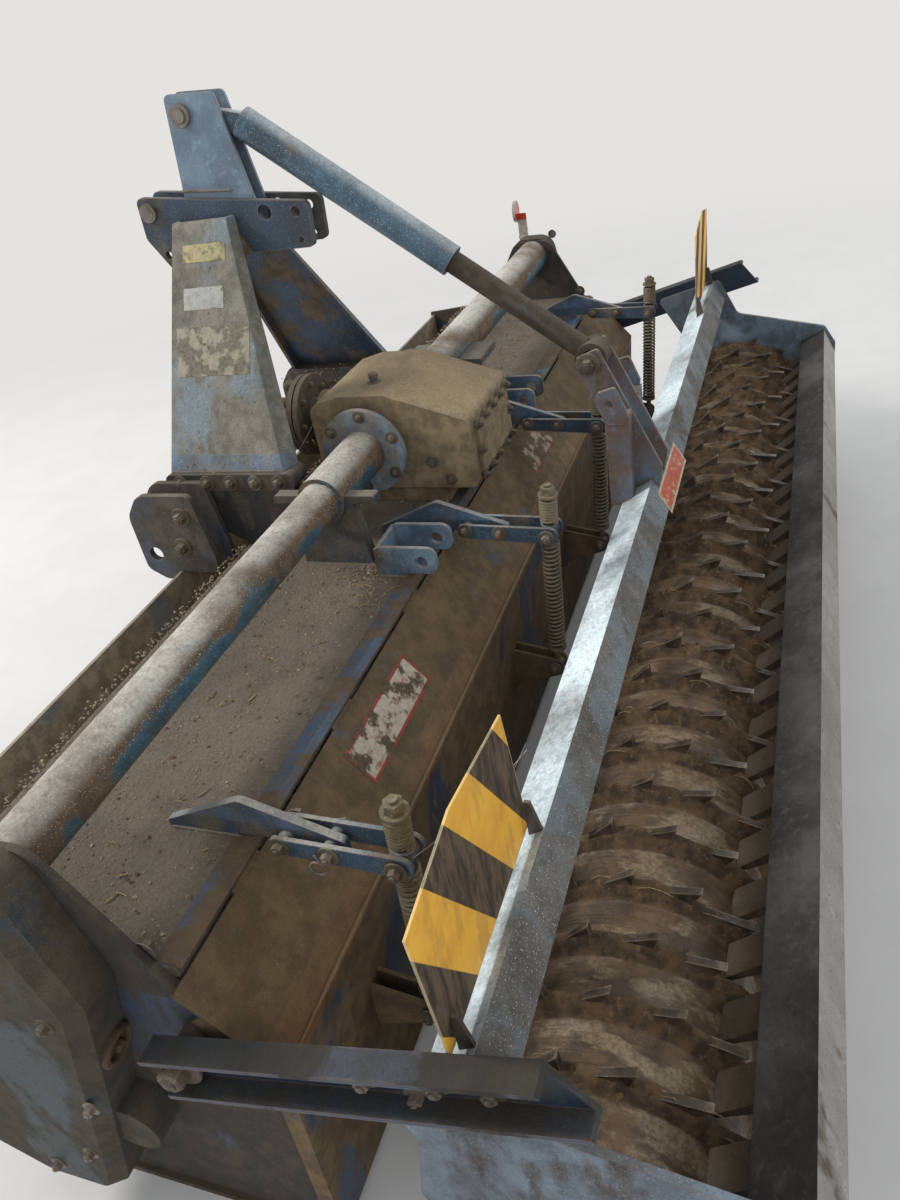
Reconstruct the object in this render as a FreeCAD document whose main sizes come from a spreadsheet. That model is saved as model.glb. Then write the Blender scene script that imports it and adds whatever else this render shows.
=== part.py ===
"""Rotary tiller with a tooth packer roller, three-point hitched, working width about 2.9 m.

Frame: X across the machine, -Y towards the tractor, +Z up, floor at Z 0, mid-plane at X 0.
Lengths are in millimetres and angles in degrees. Positive X is the side drawn as R.
Driving sizes are in the sheet "sizes"; what follows from them is in the sheet "places".
"""
import math
import os
import re

import FreeCAD
import Part
import Sketcher

V = FreeCAD.Vector
doc = FreeCAD.newDocument("Tiller")
sizes = doc.addObject("Spreadsheet::Sheet", "sizes")
places = doc.addObject("Spreadsheet::Sheet", "places")

# name, value, what it is
SIZES = (
    ("weld_gap", 0.3, "clearance where pieces are welded or bolted together"),
    ("joint_gap", 1.5, "side clearance at a joint"),
    ("pin_gap", 0.6, "radial clearance of a pin in its bore"),
    ("half_width", 1452, "mid-plane to the outer face of a side plate"),
    ("side_t", 12, "side plate thickness"),
    ("hood_top", 680, "height of the hood's top face"),
    ("hood_t", 8, "hood sheet thickness"),
    ("hood_front", -572, "hood's front wall"),
    ("hood_low", 330, "lower edge of the hood's front wall"),
    ("hood_cut", 27, "corner taken off between hood top and front wall"),
    ("bend_r", 8, "inner radius of the folds"),
    ("hinge_y", -70, "tailgate hinge line"),
    ("hinge_r", 12, "hinge knuckle radius"),
    ("hinge_pin_r", 6, "hinge pin radius"),
    ("knuckle_len", 80, "length of a tailgate knuckle"),
    ("knuckle_inset", 180, "side plate to the middle of the end knuckle"),
    ("knuckles", 8, "number of tailgate knuckles"),
    ("beam_front", -701, "front face of the front beam"),
    ("beam_top", 650, "top edge of the front beam"),
    ("beam_low", 525, "underside of the front beam"),
    ("beam_t", 8, "front beam wall"),
    ("rotor_y", -250, "rotor axis, along the machine"),
    ("rotor_z", 300, "rotor axis height"),
    ("rotor_r", 62, "rotor tube radius"),
    ("rotor_wall", 10, "rotor tube wall"),
    ("rotor_end_gap", 28, "rotor tube to side plate"),
    ("journal_r", 30, "rotor end journal radius"),
    ("journal_gap", 6, "journal to its bore"),
    ("flange_r", 118, "tine flange radius"),
    ("flange_t", 12, "tine flange thickness"),
    ("flanges", 12, "number of tine flanges"),
    ("flange_inset", 120, "side plate to the end tine flange"),
    ("tines_each", 6, "tines on one flange"),
    ("tine_reach", 258, "tine tip radius"),
    ("tine_t", 10, "tine thickness"),
    ("tine_wide", 62, "tine width"),
    ("tine_foot", 96, "length of a tine's bent foot"),
    ("skid_t", 14, "skid thickness"),
    ("skid_under", 52, "skid's reach inside the side plate's outer face"),
    ("skid_over", 10, "skid's reach beyond the side plate's outer face"),
    ("skid_front", -569, "front end of the flat of a skid"),
    ("skid_rear", 22, "rear end of a skid"),
    ("case_deep", 85, "side case depth, outwards from the side plate"),
    ("case_edge", 22, "bevel round a side case"),
    ("boss_r", 34, "boss on a side case at the rotor axis"),
    ("tube_y", -268, "axle tube axis, along the machine"),
    ("tube_z", 840, "axle tube axis height"),
    ("tube_r", 44.45, "drive side axle tube radius"),
    ("tube_wall", 6.3, "axle tube wall"),
    ("sleeve_r", 54, "sleeve and idle side tube radius"),
    ("sleeve_end", 440, "end of the sleeve on the drive side"),
    ("far_tube_start", 228, "start of the wide tube on the idle side"),
    ("box_half", 150, "gearbox half width"),
    ("box_front", -412, "gearbox front face"),
    ("box_rear", -12, "gearbox rear face"),
    ("box_low", 721, "gearbox underside"),
    ("box_flange_r", 104, "gearbox side flange radius"),
    ("box_flange_x", 200, "outer face of a side flange"),
    ("box_flange_t", 16, "side flange thickness"),
    ("box_neck_r", 78, "neck between gearbox and side flange"),
    ("cover_t", 10, "gearbox rear cover thickness"),
    ("input_z", 855, "input shaft height"),
    ("input_r", 17.5, "input shaft radius"),
    ("input_front", -640, "front end of the input shaft"),
    ("input_shoulder", -560, "shoulder behind the shaft's splined end"),
    ("input_neck_r", 22, "input shaft radius behind its shoulder"),
    ("nose_r", 62, "gearbox nose radius"),
    ("nose_front", -452, "front face of the gearbox nose"),
    ("clutch_y", -497, "middle of the slip clutch discs"),
    ("clutch_r", 103, "slip clutch disc radius"),
    ("clutch_disc_t", 14, "thickness of one clutch disc"),
    ("clutch_disc_gap", 4, "lining between the clutch discs"),
    ("clutch_hub_r", 44, "slip clutch hub radius"),
    ("clutch_hub_rear", -459, "rear end of the clutch hub"),
    ("clutch_hub_front", -556, "front end of the clutch hub"),
    ("clutch_springs", 8, "number of clutch springs"),
    ("clutch_spring_r", 13, "clutch spring radius"),
    ("clutch_spring_ring", 80, "radius of the ring of clutch springs"),
    ("clutch_spring_len", 34, "clutch spring length"),
    ("leg_foot_x", 350, "outer face of a mast leg at its foot"),
    ("leg_top_x", 66, "outer face of a mast leg at its top"),
    ("leg_foot_z", 868, "mast leg foot height"),
    ("leg_top_z", 1362, "mast leg top height"),
    ("leg_foot_front", -702, "front edge of a mast leg at the foot"),
    ("leg_top_front", -690, "front edge of a mast leg at the top"),
    ("leg_foot_rear", -399, "rear edge of a mast leg at the foot"),
    ("leg_top_rear", -545, "rear edge of a mast leg at the top"),
    ("leg_wall", 12, "mast leg wall, measured across"),
    ("leg_flange", 45, "mast leg flange depth at the foot"),
    ("hitch_gap", 26, "mid-plane to the inner face of a top link plate"),
    ("hitch_t", 16, "top link plate thickness"),
    ("head_wall", 8, "mast head cheek thickness"),
    ("head_low", 32, "mast head's foot below the tops of the legs"),
    ("head_high", 287, "height of the mast head"),
    ("stay_y", -609, "front pin of the stay, along the machine"),
    ("stay_drop", 44, "front pin of the stay below the top of the mast head"),
    ("stay_pin_r", 15, "stay pin radius"),
    ("top_pin_y", -759, "top link pin, along the machine"),
    ("top_pin_z", 1388, "top link pin height"),
    ("top_pin_r", 15, "top link pin radius"),
    ("top_hole_y", -457, "spare top link hole, along the machine"),
    ("top_hole_z", 1359, "spare top link hole, height"),
    ("top_hole_r", 16.5, "spare top link hole radius"),
    ("foot_in", 300, "inner face of a mast foot bar"),
    ("foot_out", 364.7, "outer face of a mast foot bar"),
    ("foot_high", 42, "height of a mast foot bar"),
    ("post_t", 16, "thickness of the posts below the foot bars"),
    ("link_in", 365, "inner face of the lower link plates"),
    ("link_t", 16, "lower link plate thickness"),
    ("link_gap", 48, "gap between the two lower link plates"),
    ("link_y", -750, "lower link bore, along the machine"),
    ("link_z", 698, "lower link bore height"),
    ("link_r", 18.5, "lower link bore radius"),
    ("link_nose", 40, "lower link bore to the bracket's front edge"),
    ("rib_inset", 247, "side plate to the outer tailgate spring stations"),
    ("rib_inner", 285, "inner tailgate spring stations"),
    ("rib_t", 14, "spring rib thickness"),
    ("bar_off", 20, "rib mid-plane to the inner face of a side bar"),
    ("bar_t", 8, "side bar thickness"),
    ("swivel_y", 185, "rod swivel, along the machine"),
    ("swivel_z", 685, "rod swivel height"),
    ("swivel_r", 20, "rod swivel radius"),
    ("swivel_pin_r", 8, "rod swivel journal radius"),
    ("rod_r", 8, "tailgate rod radius"),
    ("rod_free", 6, "radial clearance of a rod in its swivel"),
    ("lug_y", 165, "tailgate rod lug pin, along the machine"),
    ("lug_z", 318, "tailgate rod lug pin height"),
    ("lug_pin_r", 7, "lug pin radius"),
    ("lug_gap", 12, "rod mid-plane to the inner face of a lug plate"),
    ("lug_t", 8, "lug plate thickness"),
    ("rod_top", 800, "top of the tailgate rods"),
    ("spring_r", 22, "tailgate spring radius"),
    ("spring_wall", 7, "tailgate spring wire"),
    ("gate_over", 16, "tailgate's reach beyond the side plates"),
    ("gate_t", 6, "tailgate sheet thickness"),
    ("gate_flange", 30, "depth of the tailgate's end flanges"),
    ("pivot_y", -60, "roller arm pivot, along the machine"),
    ("pivot_z", 555, "roller arm pivot height"),
    ("pivot_r", 15, "roller arm pivot pin radius"),
    ("pivot_boss_r", 23, "boss behind the roller arm"),
    ("arm_angle", 15.5, "slope of the roller arms"),
    ("arm_off", 35, "side plate to the inner face of a roller arm's web"),
    ("arm_t", 8, "roller arm wall"),
    ("arm_flange", 41, "roller arm width over its flanges"),
    ("arm_high", 85, "roller arm height"),
    ("arm_over", 39, "arm's top face above its pivot"),
    ("arm_nose", 36, "arm's front end ahead of its pivot"),
    ("arm_reach", 615, "arm's rear end behind its pivot"),
    ("end_t", 12, "roller end plate thickness"),
    ("roller_y", 470, "roller axis, along the machine"),
    ("roller_z", 245, "roller axis height"),
    ("drum_r", 190, "roller drum radius"),
    ("drum_wall", 8, "roller drum wall"),
    ("drum_gap", 18, "roller drum to its end plates"),
    ("stub_r", 25, "roller stub axle radius"),
    ("tip_high", 55, "roller tooth tip above the drum"),
    ("root_high", 13, "roller tooth root above the drum"),
    ("ring_t", 14, "tooth ring thickness"),
    ("rings", 28, "number of tooth rings"),
    ("ring_inset", 12, "drum end to the middle of the end ring"),
    ("teeth", 14, "teeth on one ring"),
    ("tooth_turn", 89, "angle of one tooth on every second ring"),
    ("wing_rear", 790, "rear end of the roller end plates"),
    ("beam_side", 75, "roller beam side"),
    ("beam_wall", 6, "roller beam wall"),
    ("beam_tilt", 30.7, "roller beam tilt"),
    ("ridge_y", 375, "roller beam's upper edge, along the machine"),
    ("ridge_z", 690, "roller beam's upper edge, height"),
    ("bar_side", 85, "scraper bar side"),
    ("bar_wall", 5, "scraper bar wall"),
    ("bar_tilt", 27, "scraper bar tilt"),
    ("crest_y", 750, "scraper bar's upper edge, along the machine"),
    ("crest_z", 490, "scraper bar's upper edge, height"),
    ("blade_t", 8, "scraper blade thickness"),
    ("blade_wide", 62, "scraper blade width"),
    ("blade_gap", 7, "scraper blade to the drum"),
    ("blade_seat_high", 22, "scraper bar's front edge to the blade's upper edge"),
    ("blade_seat_low", 44, "scraper bar's front edge to the blade's lower edge"),
    ("tower_in", 38, "mid-plane to the inner face of a tower plate"),
    ("tower_t", 10, "tower plate thickness"),
    ("tower_pin_y", 250, "rear pin of the stay, along the machine"),
    ("tower_pin_z", 975, "rear pin of the stay, height"),
    ("post_side", 50, "width of a tower post"),
    ("post_front", 285, "front face of the tower posts"),
    ("post_rear", 337, "rear face of the tower posts"),
    ("post_top", 864, "top of the tower posts"),
    ("ear_t", 11, "thickness of the ear on a tower post"),
    ("ear_y", 297, "hole of the ear, along the machine"),
    ("ear_z", 896, "hole of the ear, height"),
    ("ear_r", 9, "radius of the ear's hole"),
    ("stay_tube_r", 35, "stay tube radius"),
    ("stay_rod_r", 25, "stay rod radius"),
    ("stay_off_y", 49, "stay's line starts this far behind its front pin"),
    ("stay_off_z", 30, "stay's line starts this far above its front pin"),
    ("stay_tube_from", 104, "stay tube starts this far along the stay's line"),
    ("stay_tube_to", 649, "stay tube ends this far along the stay's line"),
    ("stay_rod_from", 390, "stay rod starts this far along the stay's line"),
    ("stay_plug", 30, "closed stretch at the front of the stay tube"),
    ("stay_eye_t", 30, "stay eye thickness"),
    ("stay_eye_r", 22, "stay's front eye radius"),
    ("stay_end_r", 36, "stay's rear eye radius"),
    ("stay_free", 6, "radial clearance of the rod's eye on the tower pin"),
    ("board_y", 348, "front face of the warning boards"),
    ("board_t", 3, "warning board thickness"),
    ("reflector_y", -321, "reflector, along the machine"),
    ("reflector_z", 982, "reflector height"),
    ("reflector_r", 38, "reflector radius"),
)

# name, formula, what it is
PLACES = (
    ("side_in", "half_width - side_t", "inner face of a side plate"),
    ("hood_half", "side_in - weld_gap", "half width of what fits between the side plates"),
    ("hinge_z", "hood_top - hinge_r", "tailgate hinge height"),
    ("hinge_bore", "hinge_pin_r + pin_gap", "hinge bore radius"),
    ("knuckle_pitch", "2 * (hood_half - knuckle_inset) / (knuckles - 1)", "spacing of the knuckles"),
    ("flange_pitch", "2 * (hood_half - flange_inset) / (flanges - 1)", "spacing of the tine flanges"),
    ("skid_in", "half_width - skid_under", "skid inner edge"),
    ("skid_out", "half_width + skid_over", "skid outer edge"),
    ("gate_half", "half_width + gate_over", "tailgate half width"),
    ("arm_web_in", "half_width + arm_off", "inner face of a roller arm's web"),
    ("rib_outer", "half_width - rib_inset", "outer tailgate spring stations"),
    ("case_in", "half_width + weld_gap", "inner face of a side case"),
    ("case_out", "half_width + case_deep", "outer face of a side case"),
    ("link_mid", "link_in + link_t + link_gap / 2", "middle of a lower link bracket"),
    ("link_out", "link_in + 2 * link_t + link_gap", "outer face of the lower link plates"),
    ("hitch_out", "hitch_gap + hitch_t", "outer face of a top link plate"),
    ("head_half", "hitch_gap - weld_gap", "outer face of a mast head cheek"),
    ("head_foot", "leg_top_z - head_low", "lower edge of the mast head"),
    ("head_top", "head_foot + head_high", "top of the mast head"),
    ("stay_z", "head_top - stay_drop", "front pin of the stay, height"),
    ("link_front", "link_y - link_nose", "front edge of the lower link brackets"),
    ("foot_top", "leg_foot_z - weld_gap", "top of the mast foot bars"),
    ("foot_low", "foot_top - foot_high", "underside of the mast foot bars"),
    ("arm_front_z", "pivot_z", "height of the arm's pivot"),
    ("end_in", "arm_web_in - weld_gap - end_t", "inner face of a roller end plate"),
    ("roll_half", "end_in - weld_gap", "half length of what fits between the end plates"),
    ("drum_half", "end_in - drum_gap", "roller drum half length"),
    ("ring_pitch", "2 * (drum_half - ring_inset) / (rings - 1)", "spacing of the tooth rings"),
    ("tip_r", "drum_r + tip_high", "roller tooth tip radius"),
    ("ring_root", "drum_r + root_high", "roller tooth root radius"),
    ("tilt_c", "cos(beam_tilt)", "roller beam tilt, cosine"),
    ("tilt_s", "sin(beam_tilt)", "roller beam tilt, sine"),
    ("beam_front_y", "ridge_y - beam_side * tilt_c", "roller beam front edge"),
    ("beam_front_z", "ridge_z - beam_side * tilt_s", "roller beam front edge height"),
    ("beam_rear_y", "ridge_y + beam_side * tilt_s", "roller beam rear edge"),
    ("beam_rear_z", "ridge_z - beam_side * tilt_c", "roller beam rear edge height"),
    ("beam_under_y", "beam_front_y + beam_side * tilt_s", "roller beam lower edge"),
    ("beam_under_z", "beam_front_z - beam_side * tilt_c", "roller beam lower edge height"),
    ("seat_y", "beam_front_y - weld_gap * (tilt_c - tilt_s)", "tower seat corner"),
    ("seat_z", "beam_front_z + weld_gap * (tilt_c - tilt_s)", "tower seat corner height"),
    ("stay_from_y", "stay_y + stay_off_y", "start of the stay's line, along the machine"),
    ("stay_from_z", "stay_z + stay_off_z", "start of the stay's line, height"),
    ("stay_run_y", "tower_pin_y - stay_from_y", "stay, along the machine"),
    ("stay_run_z", "tower_pin_z - stay_from_z", "stay, upwards"),
    ("stay_len", "sqrt(stay_run_y ^ 2 + stay_run_z ^ 2)", "length of the stay's line"),
    ("stay_angle", "atan2(stay_run_z; stay_run_y) / 1 deg", "stay slope"),
    ("stay_c", "stay_run_y / stay_len", "stay slope, cosine"),
    ("stay_s", "-stay_run_z / stay_len", "stay slope, sine, downwards"),
    ("rod_run_y", "swivel_y - lug_y", "tailgate rod, along the machine"),
    ("rod_run_z", "swivel_z - lug_z", "tailgate rod, upwards"),
    ("rod_len", "sqrt(rod_run_y ^ 2 + rod_run_z ^ 2)", "lug pin to swivel"),
    ("rod_angle", "atan2(rod_run_z; rod_run_y) / 1 deg", "tailgate rod slope"),
)

# Outlines: corner, first axis, second axis, optional rounding
OUTLINES = {
    "hood_sheet": (
        ("rear", "hinge_y - hinge_r - 2", "hood_top"),
        ("bend", "hood_front + hood_cut", "hood_top"),
        ("knee", "hood_front", "hood_top - hood_cut"),
        ("low", "hood_front", "hood_low"),
    ),
    "front_trough": (
        ("lip", "beam_front", "beam_top"),
        ("front_low", "beam_front", "beam_low"),
        ("rear_low", "hood_front - weld_gap", "beam_low"),
        ("rear_top", "hood_front - weld_gap", "beam_top"),
    ),
    "side_plate": (
        ("hood_rear", "hinge_y - hinge_r - 10", "hood_top + 4"),
        ("lobe_rear", "tube_y + 64", "tube_z + 52", "46"),
        ("lobe_front", "tube_y - 64", "tube_z + 52", "46"),
        ("hood_mid", "tube_y - 184", "hood_top + 4", "60"),
        ("beam_high", "beam_front - 8", "beam_top + 10"),
        ("beam_deep", "beam_front - 8", "beam_low - 25", "40"),
        ("nose", "skid_front - 90", "260", "60"),
        ("front_low", "skid_front + 10", "skid_t + weld_gap", "100"),
        ("rear_low", "skid_rear + 6", "skid_t + weld_gap", "25"),
        ("rear_mid", "36", "150"),
        ("rear_high", "50", "446"),
        ("rear_fold", "56", "502"),
    ),
    "skid": (
        ("rear", "skid_rear", "0"),
        ("knee", "skid_front", "0"),
        ("front", "skid_front - 72", "176"),
    ),
    "side_case": (
        ("rear_high", "-164", "660", "30"),
        ("lobe_rear", "tube_y + 62", "tube_z + 58", "56"),
        ("lobe_front", "tube_y - 62", "tube_z + 58", "56"),
        ("shoulder", "-430", "690", "60"),
        ("front_high", "-640", "592", "60"),
        ("front_mid", "-676", "400", "60"),
        ("front_low", "-596", "170", "90"),
        ("belly", "-480", "98", "60"),
        ("rear_low", "-332", "98", "50"),
    ),
    "gearbox_body": (
        ("front_low", "box_front", "box_low", "20"),
        ("front_high", "box_front", "input_z + 82", "30"),
        ("hump_front", "-330", "958", "40"),
        ("hump_rear", "-215", "958", "40"),
        ("rear_high", "box_rear", "888", "20"),
        ("rear_low", "box_rear", "box_low", "20"),
    ),
    "gearbox_bed": (
        ("front_low", "box_front - 18", "hood_top + weld_gap"),
        ("front_high", "box_front + 22", "box_low + 6"),
        ("rear_high", "-120", "box_low + 6"),
        ("rear_low", "-96", "hood_top + weld_gap"),
    ),
    "leg_foot": (
        ("web_front", "leg_foot_x", "leg_foot_front"),
        ("web_rear", "leg_foot_x", "leg_foot_rear"),
        ("lip_rear", "leg_foot_x - leg_flange", "leg_foot_rear + 18"),
        ("lip_rear_in", "leg_foot_x - leg_flange", "leg_foot_rear + 7"),
        ("web_rear_in", "leg_foot_x - leg_wall", "leg_foot_rear - 10"),
        ("web_front_in", "leg_foot_x - leg_wall", "leg_foot_front + 10"),
        ("lip_front_in", "leg_foot_x - leg_flange", "leg_foot_front + 10"),
        ("lip_front", "leg_foot_x - leg_flange", "leg_foot_front"),
    ),
    "leg_top": (
        ("web_front", "leg_top_x", "leg_top_front"),
        ("web_rear", "leg_top_x", "leg_top_rear"),
        ("lip_rear", "hitch_out + weld_gap", "leg_top_rear + 10"),
        ("lip_rear_in", "hitch_out + weld_gap", "leg_top_rear"),
        ("web_rear_in", "leg_top_x - leg_wall", "leg_top_rear - 10"),
        ("web_front_in", "leg_top_x - leg_wall", "leg_top_front + 10"),
        ("lip_front_in", "hitch_out + weld_gap", "leg_top_front + 10"),
        ("lip_front", "hitch_out + weld_gap", "leg_top_front"),
    ),
    "hitch_plate": (
        ("front_top", "-786", "1423", "16"),
        ("rear_top", "-345", "1373", "16"),
        ("rear_low", "-352", "1275", "14"),
        ("step_low", "-512", "1275", "10"),
        ("step_high", "-552", "1350"),
        ("front_high", "-684", "1350"),
        ("front_deep", "-692", "1248", "16"),
        ("front_low", "-744", "1258", "16"),
        ("front_mid", "link_front", "1330", "20"),
    ),
    "head_cheek": (
        ("front_top", "-641", "head_top", "14"),
        ("rear_top", "-517", "head_top - 9", "14"),
        ("rear_low", "-480", "head_foot + 42"),
        ("tail", "-486", "head_foot"),
        ("foot", "-650", "head_foot"),
        ("front_low", "-664", "head_foot + 70"),
    ),
    "head_web": (
        ("front_low", "-664", "head_foot + 70"),
        ("front_top", "-642", "head_top - 22"),
        ("rear_top", "-634", "head_top - 23"),
        ("rear_low", "-656", "head_foot + 70"),
    ),
    "foot_bar": (
        ("front_low", "leg_foot_front - 12", "foot_low", "18"),
        ("front_top", "leg_foot_front - 12", "foot_top", "18"),
        ("rear_top", "leg_foot_rear + 30", "foot_top", "18"),
        ("rear_low", "leg_foot_rear + 30", "foot_low", "18"),
    ),
    "foot_post": (
        ("front_top", "leg_foot_front + 24", "foot_low + 4"),
        ("rear_top", "leg_foot_rear + 10", "foot_low + 4"),
        ("rear_low", "leg_foot_rear - 30", "hood_top + weld_gap"),
        ("front_low", "hood_front + hood_cut + 8", "hood_top + weld_gap"),
        ("front_mid", "leg_foot_front + 24", "foot_low - 60"),
    ),
    "link_plate": (
        ("front_low", "link_front", "link_z - 42", "26"),
        ("front_top", "link_front", "800", "50"),
        ("top_front", "-748", "854", "40"),
        ("top_rear", "-602", "854", "20"),
        ("rear_mid", "hood_front - 13", "700"),
        ("rear_low", "hood_front - 13", "beam_top + weld_gap"),
        ("beam_edge", "beam_front - weld_gap", "beam_top + weld_gap"),
        ("beam_low", "beam_front - weld_gap", "link_z - 70"),
        ("lobe_low", "link_y + 6", "link_z - 70", "24"),
    ),
    "spring_rib": (
        ("tip_low", "-216", "hood_top + weld_gap"),
        ("tip_high", "-216", "hood_top + 15"),
        ("apex", "-70", "759", "20"),
        ("tail_high", "96", "700", "10"),
        ("tail_low", "96", "664", "10"),
        ("under", "-34", "hood_top + 8"),
        ("seat", "hinge_y - hinge_r - 8", "hood_top + 8"),
        ("heel", "hinge_y - hinge_r - 8", "hood_top + weld_gap"),
    ),
    "spring_bar": (
        ("front_high", "-20", "712", "12"),
        ("rear_high", "swivel_y + 24", "swivel_z + 20", "18"),
        ("rear_low", "swivel_y + 24", "swivel_z - 20", "18"),
        ("front_low", "-20", "680", "12"),
    ),
    "bracket_box": (
        ("front_low", "-150", "hood_top + weld_gap"),
        ("front_high", "-150", "752", "18"),
        ("rear_high", "-8", "752", "22"),
        ("rear_low", "-8", "hood_top + 10", "22"),
        ("seat", "hinge_y - hinge_r - 8", "hood_top + 10"),
        ("heel", "hinge_y - hinge_r - 8", "hood_top + weld_gap"),
    ),
    "gate_sheet": (
        ("top", "-56", "659"),
        ("fold", "71", "511"),
        ("kink", "67", "446"),
        ("knee", "50", "148"),
        ("low", "44", "28"),
    ),
    "gate_end": (
        ("top", "-24", "621.7"),
        ("fold", "71", "511"),
        ("kink", "67", "446"),
        ("knee", "50", "148"),
        ("low", "44", "28"),
        ("low_in", "44 - gate_flange", "28"),
        ("knee_in", "50 - gate_flange", "148"),
        ("kink_in", "67 - gate_flange", "446"),
        ("fold_in", "68 - gate_flange", "497"),
        ("top_in", "-24 - gate_flange * 0.76", "621.7 - gate_flange * 0.65"),
    ),
    "gate_finger": (
        ("hub", "hinge_y", "hinge_z + 6"),
        ("top", "-54", "660"),
        ("low", "-60", "652"),
        ("heel", "hinge_y", "hinge_z - 4"),
    ),
    "gate_lug": (
        ("root_high", "60", "360"),
        ("nose_high", "lug_y + 20", "lug_z + 16", "16"),
        ("nose_low", "lug_y + 16", "lug_z - 20", "16"),
        ("root_low", "55", "250"),
    ),
    "end_plate": (
        ("front_high", "175", "632", "12"),
        ("beam_top", "392", "692", "20"),
        ("notch", "456", "566", "30"),
        ("wing_top", "752", "502", "16"),
        ("wing_rear", "wing_rear", "440", "12"),
        ("wing_low", "wing_rear", "396", "16"),
        ("wing_under", "640", "262", "60"),
        ("hub_rear", "roller_y + 82", "roller_z - 52", "60"),
        ("hub_low", "roller_y - 8", "roller_z - 96", "80"),
        ("hub_front", "roller_y - 96", "roller_z - 30"),
        ("shin", "239", "300", "40"),
        ("knee", "270", "480", "60"),
    ),
    "tower_plate": (
        ("front", "tower_pin_y - 34", "tower_pin_z - 8", "12"),
        ("top_front", "tower_pin_y - 28", "tower_pin_z + 10"),
        ("top_rear", "tower_pin_y + 20", "tower_pin_z + 30", "8"),
        ("heel", "ridge_y + 24", "ridge_z + 30", "8"),
        ("rear_low", "ridge_y + 27 * tilt_s", "ridge_z - 26 * tilt_c"),
        ("ridge", "ridge_y", "ridge_z + 2 * weld_gap"),
        ("front_low", "ridge_y - 46 * tilt_c", "ridge_z - 45 * tilt_s"),
        ("toe", "ridge_y - 43", "ridge_z + 30"),
    ),
    "tower_post": (
        ("front_low", "post_front", "beam_front_z - 6"),
        ("front_top", "post_front", "post_top"),
        ("rear_top", "post_rear", "post_top"),
        ("rear_low", "post_rear", "seat_z + (post_rear - seat_y) * tilt_s / tilt_c"),
        ("seat", "seat_y", "seat_z"),
        ("toe", "seat_y - 4", "beam_front_z - 6"),
    ),
    "tower_ear": (
        ("left", "ear_y - 34", "ear_z + 12", "14"),
        ("top_left", "ear_y - 22", "ear_z + 28"),
        ("top_right", "ear_y + 15", "ear_z + 39", "8"),
        ("right", "ear_y + 38", "ear_z - 20"),
        ("low_right", "ear_y + 34", "post_top - 16"),
        ("low_left", "ear_y - 8", "post_top - 16"),
    ),
    "stay_neck": (
        ("eye_high", "stay_y", "stay_z + stay_eye_r - 1"),
        ("tube_high", "stay_from_y + (stay_tube_from + 6) * stay_c + 24 * stay_s",
         "stay_from_z - (stay_tube_from + 6) * stay_s + 24 * stay_c"),
        ("tube_low", "stay_from_y + (stay_tube_from + 6) * stay_c - 24 * stay_s",
         "stay_from_z - (stay_tube_from + 6) * stay_s - 24 * stay_c"),
        ("eye_low", "stay_y", "stay_z - stay_eye_r + 1"),
    ),
    "board": (
        ("low_in", "arm_web_in - 364", "691"),
        ("low_out", "arm_web_in - 3", "693"),
        ("high_out", "arm_web_in + 16", "932"),
        ("peak", "arm_web_in - 137", "958"),
        ("high_in", "arm_web_in - 331", "927"),
    ),
    "board_strap": (
        ("foot_front", "board_y + board_t + weld_gap",
         "seat_z + (board_y + board_t + weld_gap - seat_y) * tilt_s / tilt_c"),
        ("head_front", "board_y + board_t + weld_gap", "742"),
        ("head_rear", "board_y + board_t + weld_gap + 9", "742"),
        ("foot_rear", "ridge_y - 2",
         "seat_z + (ridge_y - 2 - seat_y) * tilt_s / tilt_c"),
    ),
    "saddle": (
        ("foot_front", "tube_y - 84", "hood_top + weld_gap"),
        ("waist_front", "tube_y - 68", "tube_z - 10"),
        ("ear_front_low", "tube_y - 122", "tube_z - 10"),
        ("ear_front", "tube_y - 122", "tube_z + 8", "6"),
        ("ear_rear", "tube_y + 122", "tube_z + 8", "6"),
        ("ear_rear_low", "tube_y + 122", "tube_z - 10"),
        ("waist_rear", "tube_y + 68", "tube_z - 10"),
        ("foot_rear", "tube_y + 84", "hood_top + weld_gap"),
    ),
}


def fill_sheets():
    """Write the tables into the two sheets and return the sheet of each name."""
    owner = {}
    for row, (name, value, note) in enumerate(SIZES, 1):
        sizes.set("A%d" % row, name)
        sizes.set("B%d" % row, str(value))
        sizes.set("C%d" % row, note)
        sizes.setAlias("B%d" % row, name)
        owner[name] = "sizes."
    rows = list(PLACES)
    for outline, corners in OUTLINES.items():
        for corner in corners:
            stem = outline + "_" + corner[0]
            rows.append((stem + "_a", corner[1], "corner, first axis"))
            rows.append((stem + "_b", corner[2], "corner, second axis"))
            if len(corner) > 3:
                rows.append((stem + "_round", corner[3], "corner rounding"))
    for name, formula, note in rows:
        owner[name] = "places."
    for row, (name, formula, note) in enumerate(rows, 1):
        text = re.sub(r"[A-Za-z_][A-Za-z_0-9]*",
                      lambda m: ("sizes." if owner.get(m.group(0)) == "sizes." else "") + m.group(0),
                      formula)
        places.set("A%d" % row, name)
        places.setAlias("B%d" % row, name)
        places.set("B%d" % row, "=" + text)
        places.set("C%d" % row, note)
    return owner


SHEET_OF = fill_sheets()
doc.recompute()


def ref(text):
    """A formula with each named value led by its sheet."""
    return re.sub(r"[A-Za-z_][A-Za-z_0-9]*",
                  lambda m: SHEET_OF.get(m.group(0), "") + m.group(0), str(text))


def num(name):
    """The number behind a named value."""
    sheet = sizes if SHEET_OF[name] == "sizes." else places
    value = sheet.get(name)
    return float(getattr(value, "Value", value))


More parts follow.
